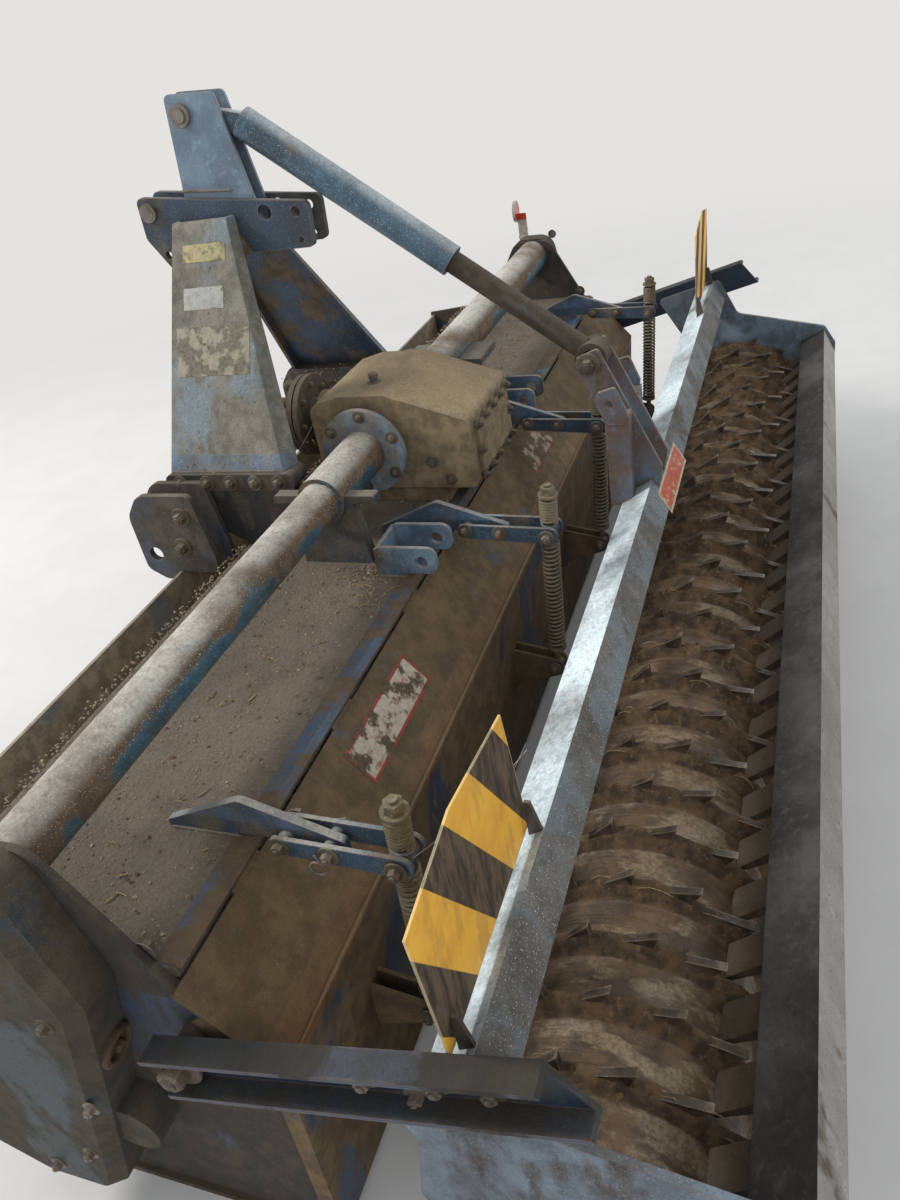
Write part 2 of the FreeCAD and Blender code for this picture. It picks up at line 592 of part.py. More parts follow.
def bind(thing, **formulas):
    """Bind properties to formulas; x, y, z and turn stand for the placement."""
    names = {"x": "Placement.Base.x", "y": "Placement.Base.y", "z": "Placement.Base.z",
             "turn": "Placement.Rotation.Angle"}
    for key, formula in formulas.items():
        thing.setExpression(names.get(key, key), ref(formula))
    return thing


AXES = {
    "YZ": {"role": "YZ_Plane", "normal": V(1, 0, 0), "base": "x", "reverse": False},
    "XZ": {"role": "XZ_Plane", "normal": V(0, 1, 0), "base": "y", "reverse": True},
    "XY": {"role": "XY_Plane", "normal": V(0, 0, 1), "base": "z", "reverse": False},
}


def flat(point, plane):
    """The two outline coordinates of a point."""
    return {"YZ": (point.y, point.z), "XZ": (point.x, point.z), "XY": (point.x, point.y)}[plane]


def pin_down(sketch, line, outline, corner):
    """Hold the start of a line at a corner kept in the sheet."""
    for kind, tail in (("DistanceX", "_a"), ("DistanceY", "_b")):
        name = outline + "_" + corner + tail
        index = sketch.addConstraint(Sketcher.Constraint(kind, -1, 1, line, 1, num(name)))
        sketch.setExpression("Constraints[%d]" % index, "places." + name)


def draw_outline(sketch, outline):
    """Draw a closed outline with every corner bound to the sheet."""
    corners = [row[0] for row in OUTLINES[outline]]
    points = [V(num(outline + "_" + c + "_a"), num(outline + "_" + c + "_b"), 0) for c in corners]
    count = len(points)
    for i in range(count):
        sketch.addGeometry(Part.LineSegment(points[i], points[(i + 1) % count]), False)
    for i in range(count):
        sketch.addConstraint(Sketcher.Constraint("Coincident", i, 2, (i + 1) % count, 1))
    for i, corner in enumerate(corners):
        pin_down(sketch, i, outline, corner)


def body_with_sketch(name, plane):
    """A body and a sketch on one of its own planes."""
    body = doc.addObject("PartDesign::Body", name)
    sketch = body.newObject("Sketcher::SketchObject", name + "_sketch")
    role = AXES[plane]["role"]
    sketch.AttachmentSupport = [([f for f in body.Origin.OriginFeatures if f.Role == role][0], "")]
    sketch.MapMode = "FlatFace"
    return body, sketch


def pad_sketch(body, sketch, plane, start, width):
    """Pad a sketch along its plane's axis from start by width."""
    pad = body.newObject("PartDesign::Pad", body.Name + "_pad")
    pad.Profile = sketch
    pad.Reversed = AXES[plane]["reverse"]
    bind(pad, Length=width)
    bind(body, **{AXES[plane]["base"]: start})
    sketch.Visibility = False
    doc.recompute()
    return pad


def round_edges(body, feature, plane, spots):
    """Round the edges that stand on given spots: (first, second, radius formula)."""
    groups = {}
    for a, b, radius in spots:
        groups.setdefault(radius, []).append((a, b))
    for radius, points in groups.items():
        names = []
        for i, edge in enumerate(feature.Shape.Edges, 1):
            if len(edge.Vertexes) != 2 or edge.Curve.TypeId != "Part::GeomLine":
                continue
            ends = [flat(v.Point, plane) for v in edge.Vertexes]
            if max(abs(ends[0][0] - ends[1][0]), abs(ends[0][1] - ends[1][1])) > 1e-4:
                continue
            if any(abs(ends[0][0] - a) + abs(ends[0][1] - b) < 1e-2 for a, b in points):
                names.append("Edge%d" % i)
        fillet = body.newObject("PartDesign::Fillet", body.Name + "_round")
        fillet.Base = (feature, names)
        bind(fillet, Radius=radius)
        doc.recompute()
        if "Invalid" in fillet.State or not names:
            raise RuntimeError("rounding failed: %s, %s" % (body.Name, radius))
        feature = fillet
    return feature


def plate(name, outline, plane, start, width):
    """A flat plate: a closed outline padded along the plane's axis."""
    body, sketch = body_with_sketch(name, plane)
    draw_outline(sketch, outline)
    pad = pad_sketch(body, sketch, plane, start, width)
    spots = []
    for row in OUTLINES[outline]:
        if len(row) > 3:
            stem = outline + "_" + row[0]
            spots.append((num(stem + "_a"), num(stem + "_b"), stem + "_round"))
    merged = {}
    for a, b, radius in spots:
        merged.setdefault(num(radius), radius)
    spots = [(a, b, merged[num(radius)]) for a, b, radius in spots]
    if spots:
        round_edges(body, pad, plane, spots)
    return body


def bent_sheet(name, outline, thickness, side, plane, start, width, bend="bend_r"):
    """A folded sheet: the outline is one face, the sheet lies on its left (1) or right (-1)."""
    body, sketch = body_with_sketch(name, plane)
    corners = [row[0] for row in OUTLINES[outline]]
    outer = [V(num(outline + "_" + c + "_a"), num(outline + "_" + c + "_b"), 0) for c in corners]
    count = len(outer)
    thick = num(thickness)
    ways = [(outer[i + 1] - outer[i]).normalize() for i in range(count - 1)]
    normals = [V(-w.y, w.x, 0) * side for w in ways]
    inner = []
    for i in range(count):
        near = normals[max(i - 1, 0)]
        far = normals[min(i, count - 2)]
        middle = (near + far).normalize()
        inner.append(outer[i] + middle * (thick / middle.dot(near)))
    loop = outer + inner[::-1]
    total = len(loop)
    for i in range(total):
        sketch.addGeometry(Part.LineSegment(loop[i], loop[(i + 1) % total]), False)
    for i in range(total):
        sketch.addConstraint(Sketcher.Constraint("Coincident", i, 2, (i + 1) % total, 1))
    for i, corner in enumerate(corners):
        pin_down(sketch, i, outline, corner)
    sketch.addConstraint(Sketcher.Constraint("Perpendicular", count - 1, count - 2))
    sketch.addConstraint(Sketcher.Constraint("Perpendicular", total - 1, 0))
    for i in range(count - 1):
        line = total - 2 - i
        sketch.addConstraint(Sketcher.Constraint("Parallel", line, i))
        index = sketch.addConstraint(Sketcher.Constraint("Distance", line, 1, i, thick))
        sketch.setExpression("Constraints[%d]" % index, ref(thickness))
    pad = pad_sketch(body, sketch, plane, start, width)
    spots = []
    for i in range(1, count - 1):
        turn = ways[i - 1].cross(ways[i]).z * side
        big = "%s + %s" % (bend, thickness)
        spots.append((outer[i].x, outer[i].y, bend if turn < 0 else big))
        spots.append((inner[i].x, inner[i].y, big if turn < 0 else bend))
    if spots:
        round_edges(body, pad, plane, spots)
    return body


TURNS = {"x": FreeCAD.Rotation(V(0, 1, 0), 90), "y": FreeCAD.Rotation(V(1, 0, 0), -90),
         "z": FreeCAD.Rotation()}


def rod(name, axis, radius, length, x="0", y="0", z="0"):
    """A round bar from a point along an axis."""
    bar = doc.addObject("Part::Cylinder", name)
    bar.Placement = FreeCAD.Placement(V(0, 0, 0), TURNS[axis])
    return bind(bar, Radius=radius, Height=length, x=x, y=y, z=z)


def block(name, length, width, height, x="0", y="0", z="0"):
    """A box from its lowest corner."""
    return bind(doc.addObject("Part::Box", name), Length=length, Width=width, Height=height,
                x=x, y=y, z=z)


def fuse(name, *things):
    """One solid from several."""
    joined = doc.addObject("Part::MultiFuse", name)
    joined.Shapes = list(things)
    joined.Refine = True
    return joined


def cut(name, base, *tools):
    """A solid less others."""
    tool = tools[0] if len(tools) == 1 else fuse(name + "_tools", *tools)
    result = doc.addObject("Part::Cut", name)
    result.Base = base
    result.Tool = tool
    return result


def group(name, *things):
    """Like pieces that do not touch, kept together."""
    result = doc.addObject("Part::Compound", name)
    result.Links = list(things)
    return result


def mirror(name, source):
    """The same piece on the other side of the mid-plane."""
    result = doc.addObject("Part::Mirroring", name)
    result.Source = source
    result.Base = V(0, 0, 0)
    result.Normal = V(1, 0, 0)
    return result


def coded(name, shape):
    """A piece whose shape is worked out in code from the sheets."""
    feature = doc.addObject("Part::Feature", name)
    feature.Shape = shape
    feature.Placement = FreeCAD.Placement()
    return feature


NODES = []


def node(thing, name):
    """Mark a piece for export under its own name."""
    thing.Label = name
    NODES.append((thing, name))
    return thing


# Hood with its hinge knuckles
hood_sheet = bent_sheet("hood_sheet", "hood_sheet", "hood_t", 1, "YZ", "-hood_half", "2 * hood_half")
count = int(num("knuckles"))
first = "-(knuckles - 1) / 2 * knuckle_pitch"
hood_knuckles = []
gate_knuckles = []
for i in range(count + 1):
    low = "-hood_half" if i == 0 else "%s + %d * knuckle_pitch + knuckle_len / 2" % (first, i - 1)
    high = "hood_half" if i == count else "%s + %d * knuckle_pitch - knuckle_len / 2" % (first, i)
    start = low if i == 0 else "%s + joint_gap" % low
    end = high if i == count else "%s - joint_gap" % high
    length = "(%s) - (%s)" % (end, start)
    hood_knuckles.append(rod("hood_knuckle_%d" % i, "x", "hinge_r", length, start, "hinge_y", "hinge_z"))
    hood_knuckles.append(block("hood_finger_%d" % i, length, "hinge_r + 20", "hood_t",
                               start, "hinge_y - hinge_r - 20", "hood_top - hood_t"))
for i in range(count):
    start = "%s + %d * knuckle_pitch - knuckle_len / 2" % (first, i)
    gate_knuckles.append(rod("gate_knuckle_%d" % i, "x", "hinge_r", "knuckle_len", start,
                             "hinge_y", "hinge_z"))
    finger = plate("gate_finger_%d" % i, "gate_finger", "YZ", start, "knuckle_len")
    gate_knuckles.append(finger)
hood_bore = rod("hood_bore", "x", "hinge_bore", "2 * half_width", "-half_width", "hinge_y", "hinge_z")
node(cut("hood", fuse("hood_raw", hood_sheet, *hood_knuckles), hood_bore), "hood_shell")
node(rod("hinge_pin", "x", "hinge_pin_r", "2 * hood_half - 2", "-hood_half + 1", "hinge_y",
         "hinge_z"), "hinge_pin")

# Front beam, a trough open at the top
node(bent_sheet("front_trough", "front_trough", "beam_t", 1, "YZ", "-hood_half", "2 * hood_half"),
     "front_beam")

# Side plates with the rotor journal hole, skids and side cases
plate_raw = plate("side_plate_raw", "side_plate", "YZ", "side_in", "side_t")
journal_hole = rod("journal_hole", "x", "journal_r + journal_gap", "side_t + 2", "side_in - 1",
                   "rotor_y", "rotor_z")
side_r = node(cut("side_plate", plate_raw, journal_hole), "side_plate_R")
node(mirror("side_plate_far", side_r), "side_plate_L")
skid_near = bent_sheet("skid", "skid", "skid_t", -1, "YZ", "skid_in", "skid_out - skid_in", "skid_t * 3")
node(group("skid_pair", skid_near, mirror("skid_far", skid_near)), "skids")
case_raw = plate("side_case_raw", "side_case", "YZ", "case_in", "case_deep - weld_gap")
outer_face = []
top_feature = case_raw.Tip
for i, edge in enumerate(top_feature.Shape.Edges, 1):
    if all(abs(v.Point.x - (num("case_deep") - num("weld_gap"))) < 1e-3 for v in edge.Vertexes):
        outer_face.append("Edge%d" % i)
bevel = case_raw.newObject("PartDesign::Chamfer", "case_bevel")
bevel.Base = (top_feature, outer_face)
bind(bevel, Size="case_edge")
case_boss = rod("case_boss", "x", "boss_r + 18", "case_deep - 30", "case_in", "rotor_y",
                "rotor_z")
case_hole = rod("case_hole", "x", "journal_r + pin_gap", "case_deep - 45", "case_in - 1",
                "rotor_y", "rotor_z")
case_tube = rod("case_tube", "x", "tube_r + 14", "case_deep - 24", "case_in", "tube_y", "tube_z")
case_r = node(cut("side_case", fuse("side_case_whole", case_raw, case_boss, case_tube), case_hole),
              "side_case_R")
node(mirror("side_case_far", case_r), "side_case_L")

# Arm pivots on the side plates
boss = rod("pivot_boss", "x", "pivot_boss_r", "arm_web_in - joint_gap - case_in", "case_in",
           "pivot_y", "pivot_z")
pin = rod("pivot_pin", "x", "pivot_r", "arm_web_in + arm_t + joint_gap + 10 - case_in", "case_in",
          "pivot_y", "pivot_z")
cap = rod("pivot_cap", "x", "pivot_boss_r", "8", "arm_web_in + arm_t + joint_gap", "pivot_y", "pivot_z")
pivot_r = fuse("pivot_near", boss, pin, cap)
node(group("pivots", pivot_r, mirror("pivot_far", pivot_r)), "arm_pivots")

# Gearbox with its bed, side flanges, nose and rear cover
box_body = plate("gearbox_body", "gearbox_body", "YZ", "-box_half", "2 * box_half")
bed = plate("gearbox_bed", "gearbox_bed", "YZ", "-box_half + 12", "2 * box_half - 24")
neck = rod("box_neck", "x", "box_neck_r", "2 * box_flange_x - 4", "-box_flange_x + 2", "tube_y", "tube_z")
flange_near = rod("box_flange_near", "x", "box_flange_r", "box_flange_t",
                  "box_flange_x - box_flange_t", "tube_y", "tube_z")
flange_far = rod("box_flange_far", "x", "box_flange_r", "box_flange_t", "-box_flange_x", "tube_y",
                 "tube_z")
nose = rod("box_nose", "y", "nose_r", "box_front - nose_front + 10", "0", "nose_front", "input_z")
cover = block("box_cover", "2 * box_half - 56", "cover_t", "118", "-box_half + 28", "box_rear - 1",
              "box_low + 26")
input_bore = rod("input_bore", "y", "input_neck_r + pin_gap", "box_front - nose_front + 30", "0",
                 "nose_front - 1", "input_z")
node(cut("gearbox", fuse("gearbox_whole", box_body, bed, neck, flange_near, flange_far, nose, cover),
         input_bore), "gearbox")

# Axle tubes between the gearbox and the sides
tube_from = "box_flange_x + weld_gap"
tube_len = "hood_half - box_flange_x - weld_gap"
tube = rod("tube_near", "x", "tube_r", tube_len, tube_from, "tube_y", "tube_z")
sleeve = rod("sleeve_near", "x", "sleeve_r", "sleeve_end - box_flange_x - weld_gap", tube_from,
             "tube_y", "tube_z")
hollow = rod("tube_near_bore", "x", "tube_r - tube_wall", "hood_half", tube_from + " - 1", "tube_y",
             "tube_z")
node(cut("axle_tube_near", fuse("tube_near_whole", tube, sleeve), hollow), "axle_tube_R")
stub = rod("stub_far", "x", "tube_r", "hood_half - box_flange_x - weld_gap", "-hood_half", "tube_y",
           "tube_z")
wide = rod("tube_far", "x", "sleeve_r", "hood_half - far_tube_start", "-hood_half", "tube_y", "tube_z")
hollow_far = rod("tube_far_bore", "x", "tube_r - tube_wall", "hood_half", "-hood_half - 1", "tube_y",
                 "tube_z")
node(cut("axle_tube_far", fuse("tube_far_whole", stub, wide), hollow_far), "axle_tube_L")
saddle_far = plate("saddle_far_raw", "saddle", "YZ", "-foot_out - 142", "140")
saddle_near = plate("saddle_near_raw", "saddle", "YZ", "400", "30")
seat = rod("saddle_seat", "x", "sleeve_r + weld_gap", "1100", "-550", "tube_y", "tube_z")
clear_top = block("saddle_clear", "1100", "2 * sleeve_r", "40", "-550", "tube_y - sleeve_r", "tube_z")
node(cut("saddles", group("saddle_pair", saddle_far, saddle_near),
         fuse("saddle_tools", seat, clear_top)), "tube_saddles")

# Mast legs, folded channels that lean together
leg_sketches = []
for outline, height in (("leg_foot", "leg_foot_z"), ("leg_top", "leg_top_z")):
    sketch = doc.addObject("Sketcher::SketchObject", outline + "_section")
    draw_outline(sketch, outline)
    bind(sketch, z=height)
    sketch.Visibility = False
    leg_sketches.append(sketch)
leg = doc.addObject("Part::Loft", "mast_leg")
leg.Sections = leg_sketches
leg.Solid = True
leg.Ruled = True
node(leg, "mast_leg_R")
node(mirror("mast_leg_far", leg), "mast_leg_L")

# Top link plates and mast head
hitch_raw = plate("hitch_plate_raw", "hitch_plate", "YZ", "hitch_gap", "hitch_t")
HITCH_HOLES = (
    ("top_pin", "top_pin_y", "top_pin_z", "top_pin_r + pin_gap"),
    ("spare", "top_hole_y", "top_hole_z", "top_hole_r"),
    ("rear_high", "-379", "1353", "11"),
    ("rear_low", "-381", "1292", "7"),
    ("front_low", "-742", "1290", "9"),
)
holes = [rod("hitch_hole_" + name, "x", radius, "hitch_t + 2", "hitch_gap - 1", y, z)
         for name, y, z, radius in HITCH_HOLES]
hitch_near = cut("hitch_plate", hitch_raw, *holes)
node(group("hitch_pair", hitch_near, mirror("hitch_far", hitch_near)), "top_link_plates")
pin_bar = rod("top_pin_bar", "x", "top_pin_r", "2 * hitch_out + 20", "-hitch_out - 10", "top_pin_y",
              "top_pin_z")
pin_head = rod("top_pin_head", "x", "top_pin_r + 6", "8", "hitch_out + weld_gap + 1", "top_pin_y",
               "top_pin_z")
top_pin = fuse("top_pin", pin_bar, pin_head)
cheek = plate("head_cheek", "head_cheek", "YZ", "head_half - head_wall", "head_wall")
web = plate("head_web", "head_web", "YZ", "-head_half + 1", "2 * head_half - 2")
cheek_hole = rod("cheek_hole", "x", "stay_pin_r + pin_gap", "2 * hitch_out", "-hitch_out", "stay_y",
                 "stay_z")
node(cut("mast_head", fuse("head_whole", cheek, mirror("head_cheek_far", cheek), web), cheek_hole),
     "mast_head")
head_pin = rod("stay_pin_bar", "x", "stay_pin_r", "2 * head_half + 30", "-head_half - 15", "stay_y",
               "stay_z")
head_pin_cap = rod("stay_pin_cap", "x", "stay_pin_r + 9", "9", "head_half + 1", "stay_y", "stay_z")
head_pin_cap_far = rod("stay_pin_cap_far", "x", "stay_pin_r + 9", "9", "-head_half - 10", "stay_y",
                       "stay_z")
node(group("hitch_pins", top_pin, fuse("stay_pin", head_pin, head_pin_cap, head_pin_cap_far)), "mast_pins")

# Mast feet and lower link brackets
foot = plate("foot_bar", "foot_bar", "YZ", "foot_in", "foot_out - foot_in")
post_in = plate("foot_post_in", "foot_post", "YZ", "foot_in + 4", "post_t")
post_out = plate("foot_post_out", "foot_post", "YZ", "foot_out - post_t - 4", "post_t")
foot_r = fuse("mast_foot", foot, post_in, post_out)
node(group("mast_foot_pair", foot_r, mirror("mast_foot_far", foot_r)), "mast_feet")
link_plates = []
for name, start in (("in", "link_in"), ("out", "link_out - link_t")):
    raw = plate("link_plate_%s_raw" % name, "link_plate", "YZ", start, "link_t")
    hole = rod("link_hole_" + name, "x", "link_r", "link_t + 2", "(%s) - 1" % start, "link_y", "link_z")
    link_plates.append(cut("link_plate_" + name, raw, hole))
link_near = group("link_bracket", *link_plates)
node(group("link_brackets", link_near, mirror("link_bracket_far", link_near)), "lower_link_brackets")

# Spring ribs on the hood with their side bars, four stations
STATIONS = (("outer_near", "rib_outer"), ("inner_near", "rib_inner"),
            ("inner_far", "-rib_inner"), ("outer_far", "-rib_outer"))
ribs = []
for name, x in STATIONS:
    rib = plate("rib_%s_plate" % name, "spring_rib", "YZ", "%s - rib_t / 2" % x, "rib_t")
    near = plate("rib_%s_bar" % name, "spring_bar", "YZ", "%s + bar_off" % x, "bar_t")
    far = plate("rib_%s_bar_far" % name, "spring_bar", "YZ", "%s - bar_off - bar_t" % x, "bar_t")
    spacer = rod("rib_%s_spacer" % name, "x", "14", "2 * bar_off + 2", "%s - bar_off - 1" % x, "0", "694")
    tie = rod("rib_%s_tie" % name, "x", "11", "2 * bar_off + 2", "%s - bar_off - 1" % x, "72", "690")
    hole = rod("rib_%s_hole" % name, "x", "swivel_pin_r + pin_gap", "3 * bar_off", "%s - 1.5 * bar_off" % x,
               "swivel_y", "swivel_z")
    ribs.append(cut("rib_" + name, fuse("rib_%s_whole" % name, rib, near, far, spacer, tie), hole))
node(group("rib_set", *ribs), "spring_ribs")

# Clevis boxes on the hood behind the mast
box_plate_in = plate("bracket_plate_in", "bracket_box", "YZ", "370", "10")
box_plate_out = plate("bracket_plate_out", "bracket_box", "YZ", "470", "10")
box_back = block("bracket_back", "108", "10", "66", "371", "-150", "hood_top + weld_gap")
box_base = block("bracket_base", "108", "70", "8", "371", "-150", "hood_top + weld_gap")
box_hole = rod("bracket_hole", "x", "14", "130", "360", "-44", "718")
bracket_r = cut("bracket_box", fuse("bracket_whole", box_plate_in, box_plate_out, box_back, box_base),
                box_hole)
node(group("bracket_pair", bracket_r, mirror("bracket_far", bracket_r)), "bracket_boxes")

# Reflectors on the outer faces of the side cases
stem = block("reflector_stem", "6", "34", "reflector_z - tube_z", "case_out + weld_gap", "reflector_y - 17",
             "tube_z - 8")
disc = rod("reflector_disc", "y", "reflector_r", "8", "case_out + 3.3", "reflector_y - 24", "reflector_z")
reflector_r = fuse("reflector", stem, disc)

# Rotor: tube with journals and flanges, and the tines
shaft_half = "side_in - rotor_end_gap"
shaft = rod("rotor_tube", "x", "rotor_r", "2 * (%s)" % shaft_half, "-(%s)" % shaft_half, "rotor_y",
            "rotor_z")
shaft_bore = rod("rotor_tube_bore", "x", "rotor_r - rotor_wall", "2 * (%s) - 40" % shaft_half,
                 "-(%s) + 20" % shaft_half, "rotor_y", "rotor_z")
journal = rod("rotor_journals", "x", "journal_r", "2 * (half_width + 22)", "-half_width - 22",
              "rotor_y", "rotor_z")
flange_set = []
for i in range(int(num("flanges"))):
    x = "(%d - (flanges - 1) / 2) * flange_pitch - flange_t / 2" % i
    flange_set.append(rod("tine_flange_%d" % i, "x", "flange_r", "flange_t", x, "rotor_y", "rotor_z"))
rotor_core = cut("rotor_core", fuse("rotor_whole", shaft, journal, *flange_set), shaft_bore)
node(rotor_core, "rotor_shaft")


def tine(turn, x, hand):
    """One bent tine: a shank bolted to the flange and a foot turned sideways."""
    reach = num("tine_reach")
    thick = num("tine_t")
    wide = num("tine_wide")
    foot_len = num("tine_foot")
    root = num("rotor_r") + 6
    face = num("flange_t") / 2 + num("weld_gap")
    shank = Part.Face(Part.makePolygon([V(0, -wide * 0.42, root), V(0, wide * 0.42, root),
                                        V(0, wide * 0.2, reach - 16), V(0, -wide * 0.8, reach - 34),
                                        V(0, -wide * 0.42, root)])).extrude(V(thick, 0, 0))
    sole = Part.Face(Part.makePolygon([V(0, wide * 0.2, reach - 16), V(0, wide * 0.14, reach - 3),
                                       V(0, -wide * 0.8, reach - 22), V(0, -wide * 0.8, reach - 34),
                                       V(0, wide * 0.2, reach - 16)])).extrude(V(foot_len, 0, 0))
    blade = shank.fuse(sole)
    blade.translate(V(face, 0, 0))
    if hand < 0:
        blade = blade.mirror(V(0, 0, 0), V(1, 0, 0))
    blade.rotate(V(0, 0, 0), V(1, 0, 0), turn)
    blade.translate(V(x, num("rotor_y"), num("rotor_z")))
    return blade


tines = []
each = int(num("tines_each"))
for i in range(int(num("flanges"))):
    x = (i - (num("flanges") - 1) / 2) * num("flange_pitch")
    for k in range(each):
        tines.append(tine(360.0 / each * k + 23.0 * i, x, 1 if k % 2 else -1))
node(coded("tine_set", Part.makeCompound(tines)), "tines")

# Input shaft and slip clutch
stub_end = rod("input_stub", "y", "input_r", "input_shoulder - input_front + 1", "0", "input_front", "input_z")
neck_bar = rod("input_neck", "y", "input_neck_r", "box_front - input_shoulder + 20", "0", "input_shoulder",
               "input_z")
node(fuse("input_bar", stub_end, neck_bar), "input_shaft")
hub = rod("clutch_hub", "y", "clutch_hub_r", "clutch_hub_rear - clutch_hub_front", "0",
          "clutch_hub_front", "input_z")
pieces = [hub]
for name, side in (("front", -1), ("rear", 1)):
    start = "clutch_y + (%d) * (clutch_disc_t + clutch_disc_gap) / 2 - clutch_disc_t / 2" % side
    pieces.append(rod("clutch_disc_" + name, "y", "clutch_r", "clutch_disc_t", "0", start, "input_z"))
pieces.append(rod("clutch_lining", "y", "clutch_r - 8", "clutch_disc_gap + 2", "0",
                  "clutch_y - clutch_disc_gap / 2 - 1", "input_z"))
for i in range(int(num("clutch_springs"))):
    angle = "%d * 360 / clutch_springs" % i
    pieces.append(rod("clutch_spring_%d" % i, "y", "clutch_spring_r", "clutch_spring_len",
                      "clutch_spring_ring * cos(%s)" % angle,
                      "clutch_y - clutch_disc_t - clutch_disc_gap / 2 - clutch_spring_len + 1",
                      "input_z + clutch_spring_ring * sin(%s)" % angle))
clutch_bore = rod("clutch_bore", "y", "input_neck_r + weld_gap", "200", "0", "clutch_hub_front - 10",
                  "input_z")
node(cut("clutch", fuse("clutch_whole", *pieces), clutch_bore), "slip_clutch")

# Tailgate with knuckles, end flanges and rod lugs
gate_sheet = bent_sheet("gate_sheet", "gate_sheet", "gate_t", -1, "YZ", "-gate_half", "2 * gate_half",
                        "2 * gate_t")
gate_end = plate("gate_end", "gate_end", "YZ", "gate_half - gate_t", "gate_t")
gate_bore = rod("gate_bore", "x", "hinge_bore", "2 * half_width", "-half_width", "hinge_y", "hinge_z")
lugs = []
for name, x in STATIONS:
    for tail, start in (("a", "%s + lug_gap" % x), ("b", "%s - lug_gap - lug_t" % x)):
        lugs.append(plate("lug_%s_%s" % (name, tail), "gate_lug", "YZ", start, "lug_t"))
    lugs.append(rod("lug_%s_pin" % name, "x", "lug_pin_r", "2 * lug_gap + 2 * lug_t + 12",
                    "%s - lug_gap - lug_t - 6" % x, "lug_y", "lug_z"))
node(cut("gate", fuse("gate_whole", gate_sheet, gate_end, mirror("gate_end_far", gate_end),
                      *(gate_knuckles + lugs)), gate_bore), "tailgate")

# Tailgate rods, their springs and swivels
rods = []
springs = []
swivels = []
for name, x in STATIONS:
    bars = []
    SPANS = (
        ("bar", "rod_r", "0", "rod_top - lug_z"),
        ("seat", "spring_r", "46", "8"),
        ("nut", "rod_r + 6", "rod_top - lug_z - 22", "14"),
        ("washer", "spring_r", "rod_top - lug_z - 28", "6"),
    )
    for tail, radius, low, length in SPANS:
        piece = doc.addObject("Part::Cylinder", "rod_%s_%s" % (name, tail))
        piece.Placement = FreeCAD.Placement(V(0, 0, 0), FreeCAD.Rotation(V(1, 0, 0), -5))
        bind(piece, Radius=radius, Height=length, turn="90 - rod_angle", x=x,
             y="lug_y + (%s) * cos(rod_angle)" % low, z="lug_z + (%s) * sin(rod_angle)" % low)
        piece.Placement = FreeCAD.Placement(V(0, 0, 0), FreeCAD.Rotation(V(-1, 0, 0), 5))
        bars.append(piece)
    eye = rod("rod_%s_eye" % name, "x", "15", "2 * (lug_gap - joint_gap)",
              "%s - lug_gap + joint_gap" % x, "lug_y", "lug_z")
    hole = rod("rod_%s_hole" % name, "x", "lug_pin_r + pin_gap", "4 * lug_gap", "%s - 2 * lug_gap" % x,
               "lug_y", "lug_z")
    rods.append(cut("rod_" + name, fuse("rod_%s_whole" % name, eye, *bars), hole))
    SPRINGS = (
        ("low", "54.5", "rod_len - swivel_r - 54.5 - 1"),
        ("high", "rod_len + swivel_r + 1", "rod_top - lug_z - 28.5 - rod_len - swivel_r - 1"),
    )
    for tail, low, length in SPRINGS:
        pair = []
        for part, radius, extra in (("out", "spring_r", "0"), ("in", "spring_r - spring_wall", "1")):
            piece = doc.addObject("Part::Cylinder", "spring_%s_%s_%s" % (name, tail, part))
            piece.Placement = FreeCAD.Placement(V(0, 0, 0), FreeCAD.Rotation(V(-1, 0, 0), 5))
            bind(piece, Radius=radius, Height="(%s) + 2 * %s" % (length, extra), turn="90 - rod_angle",
                 x=x, y="lug_y + ((%s) - %s) * cos(rod_angle)" % (low, extra),
                 z="lug_z + ((%s) - %s) * sin(rod_angle)" % (low, extra))
            pair.append(piece)
        springs.append(cut("spring_%s_%s" % (name, tail), pair[0], pair[1]))
    drum = rod("swivel_%s_drum" % name, "x", "swivel_r", "2 * (bar_off - joint_gap)",
               "%s - bar_off + joint_gap" % x, "swivel_y", "swivel_z")
    axle = rod("swivel_%s_axle" % name, "x", "swivel_pin_r", "2 * (bar_off + bar_t + 4)",
               "%s - bar_off - bar_t - 4" % x, "swivel_y", "swivel_z")
    through = rod("swivel_%s_through" % name, "z", "rod_r + rod_free", "100", x, "swivel_y",
                  "swivel_z - 50")
    swivels.append(cut("swivel_" + name, fuse("swivel_%s_whole" % name, drum, axle), through))
node(group("rod_set", *rods), "tail_rods")
node(group("spring_set", *springs), "tail_springs")
node(group("swivel_set", *swivels), "rod_swivels")

# Roller arms, sloping channels with a pivot hole
ARM = (
    ("web", "arm_web_in", "arm_t", "arm_over - arm_high", "arm_high"),
    ("top", "arm_web_in", "arm_flange", "arm_over - arm_t", "arm_t"),
    ("low", "arm_web_in", "arm_flange", "arm_over - arm_high", "arm_t"),
)
arm_pieces = []
for name, x, width, low, high in ARM:
    piece = doc.addObject("Part::Box", "arm_" + name)
    piece.Placement = FreeCAD.Placement(V(0, 0, 0), FreeCAD.Rotation(V(1, 0, 0), 15))
    bind(piece, Length=width, Width="arm_nose + arm_reach", Height=high, turn="arm_angle", x=x,
         y="pivot_y - arm_nose * cos(arm_angle) - (%s) * sin(arm_angle)" % low,
         z="pivot_z - arm_nose * sin(arm_angle) + (%s) * cos(arm_angle)" % low)
    arm_pieces.append(piece)
arm_hole = rod("arm_hole", "x", "pivot_r + pin_gap", "60", "arm_web_in - 10", "pivot_y", "pivot_z")
trim = doc.addObject("Part::Box", "arm_trim")
trim.Placement = FreeCAD.Placement(V(0, 0, 0), FreeCAD.Rotation(V(1, 0, 0), 15))
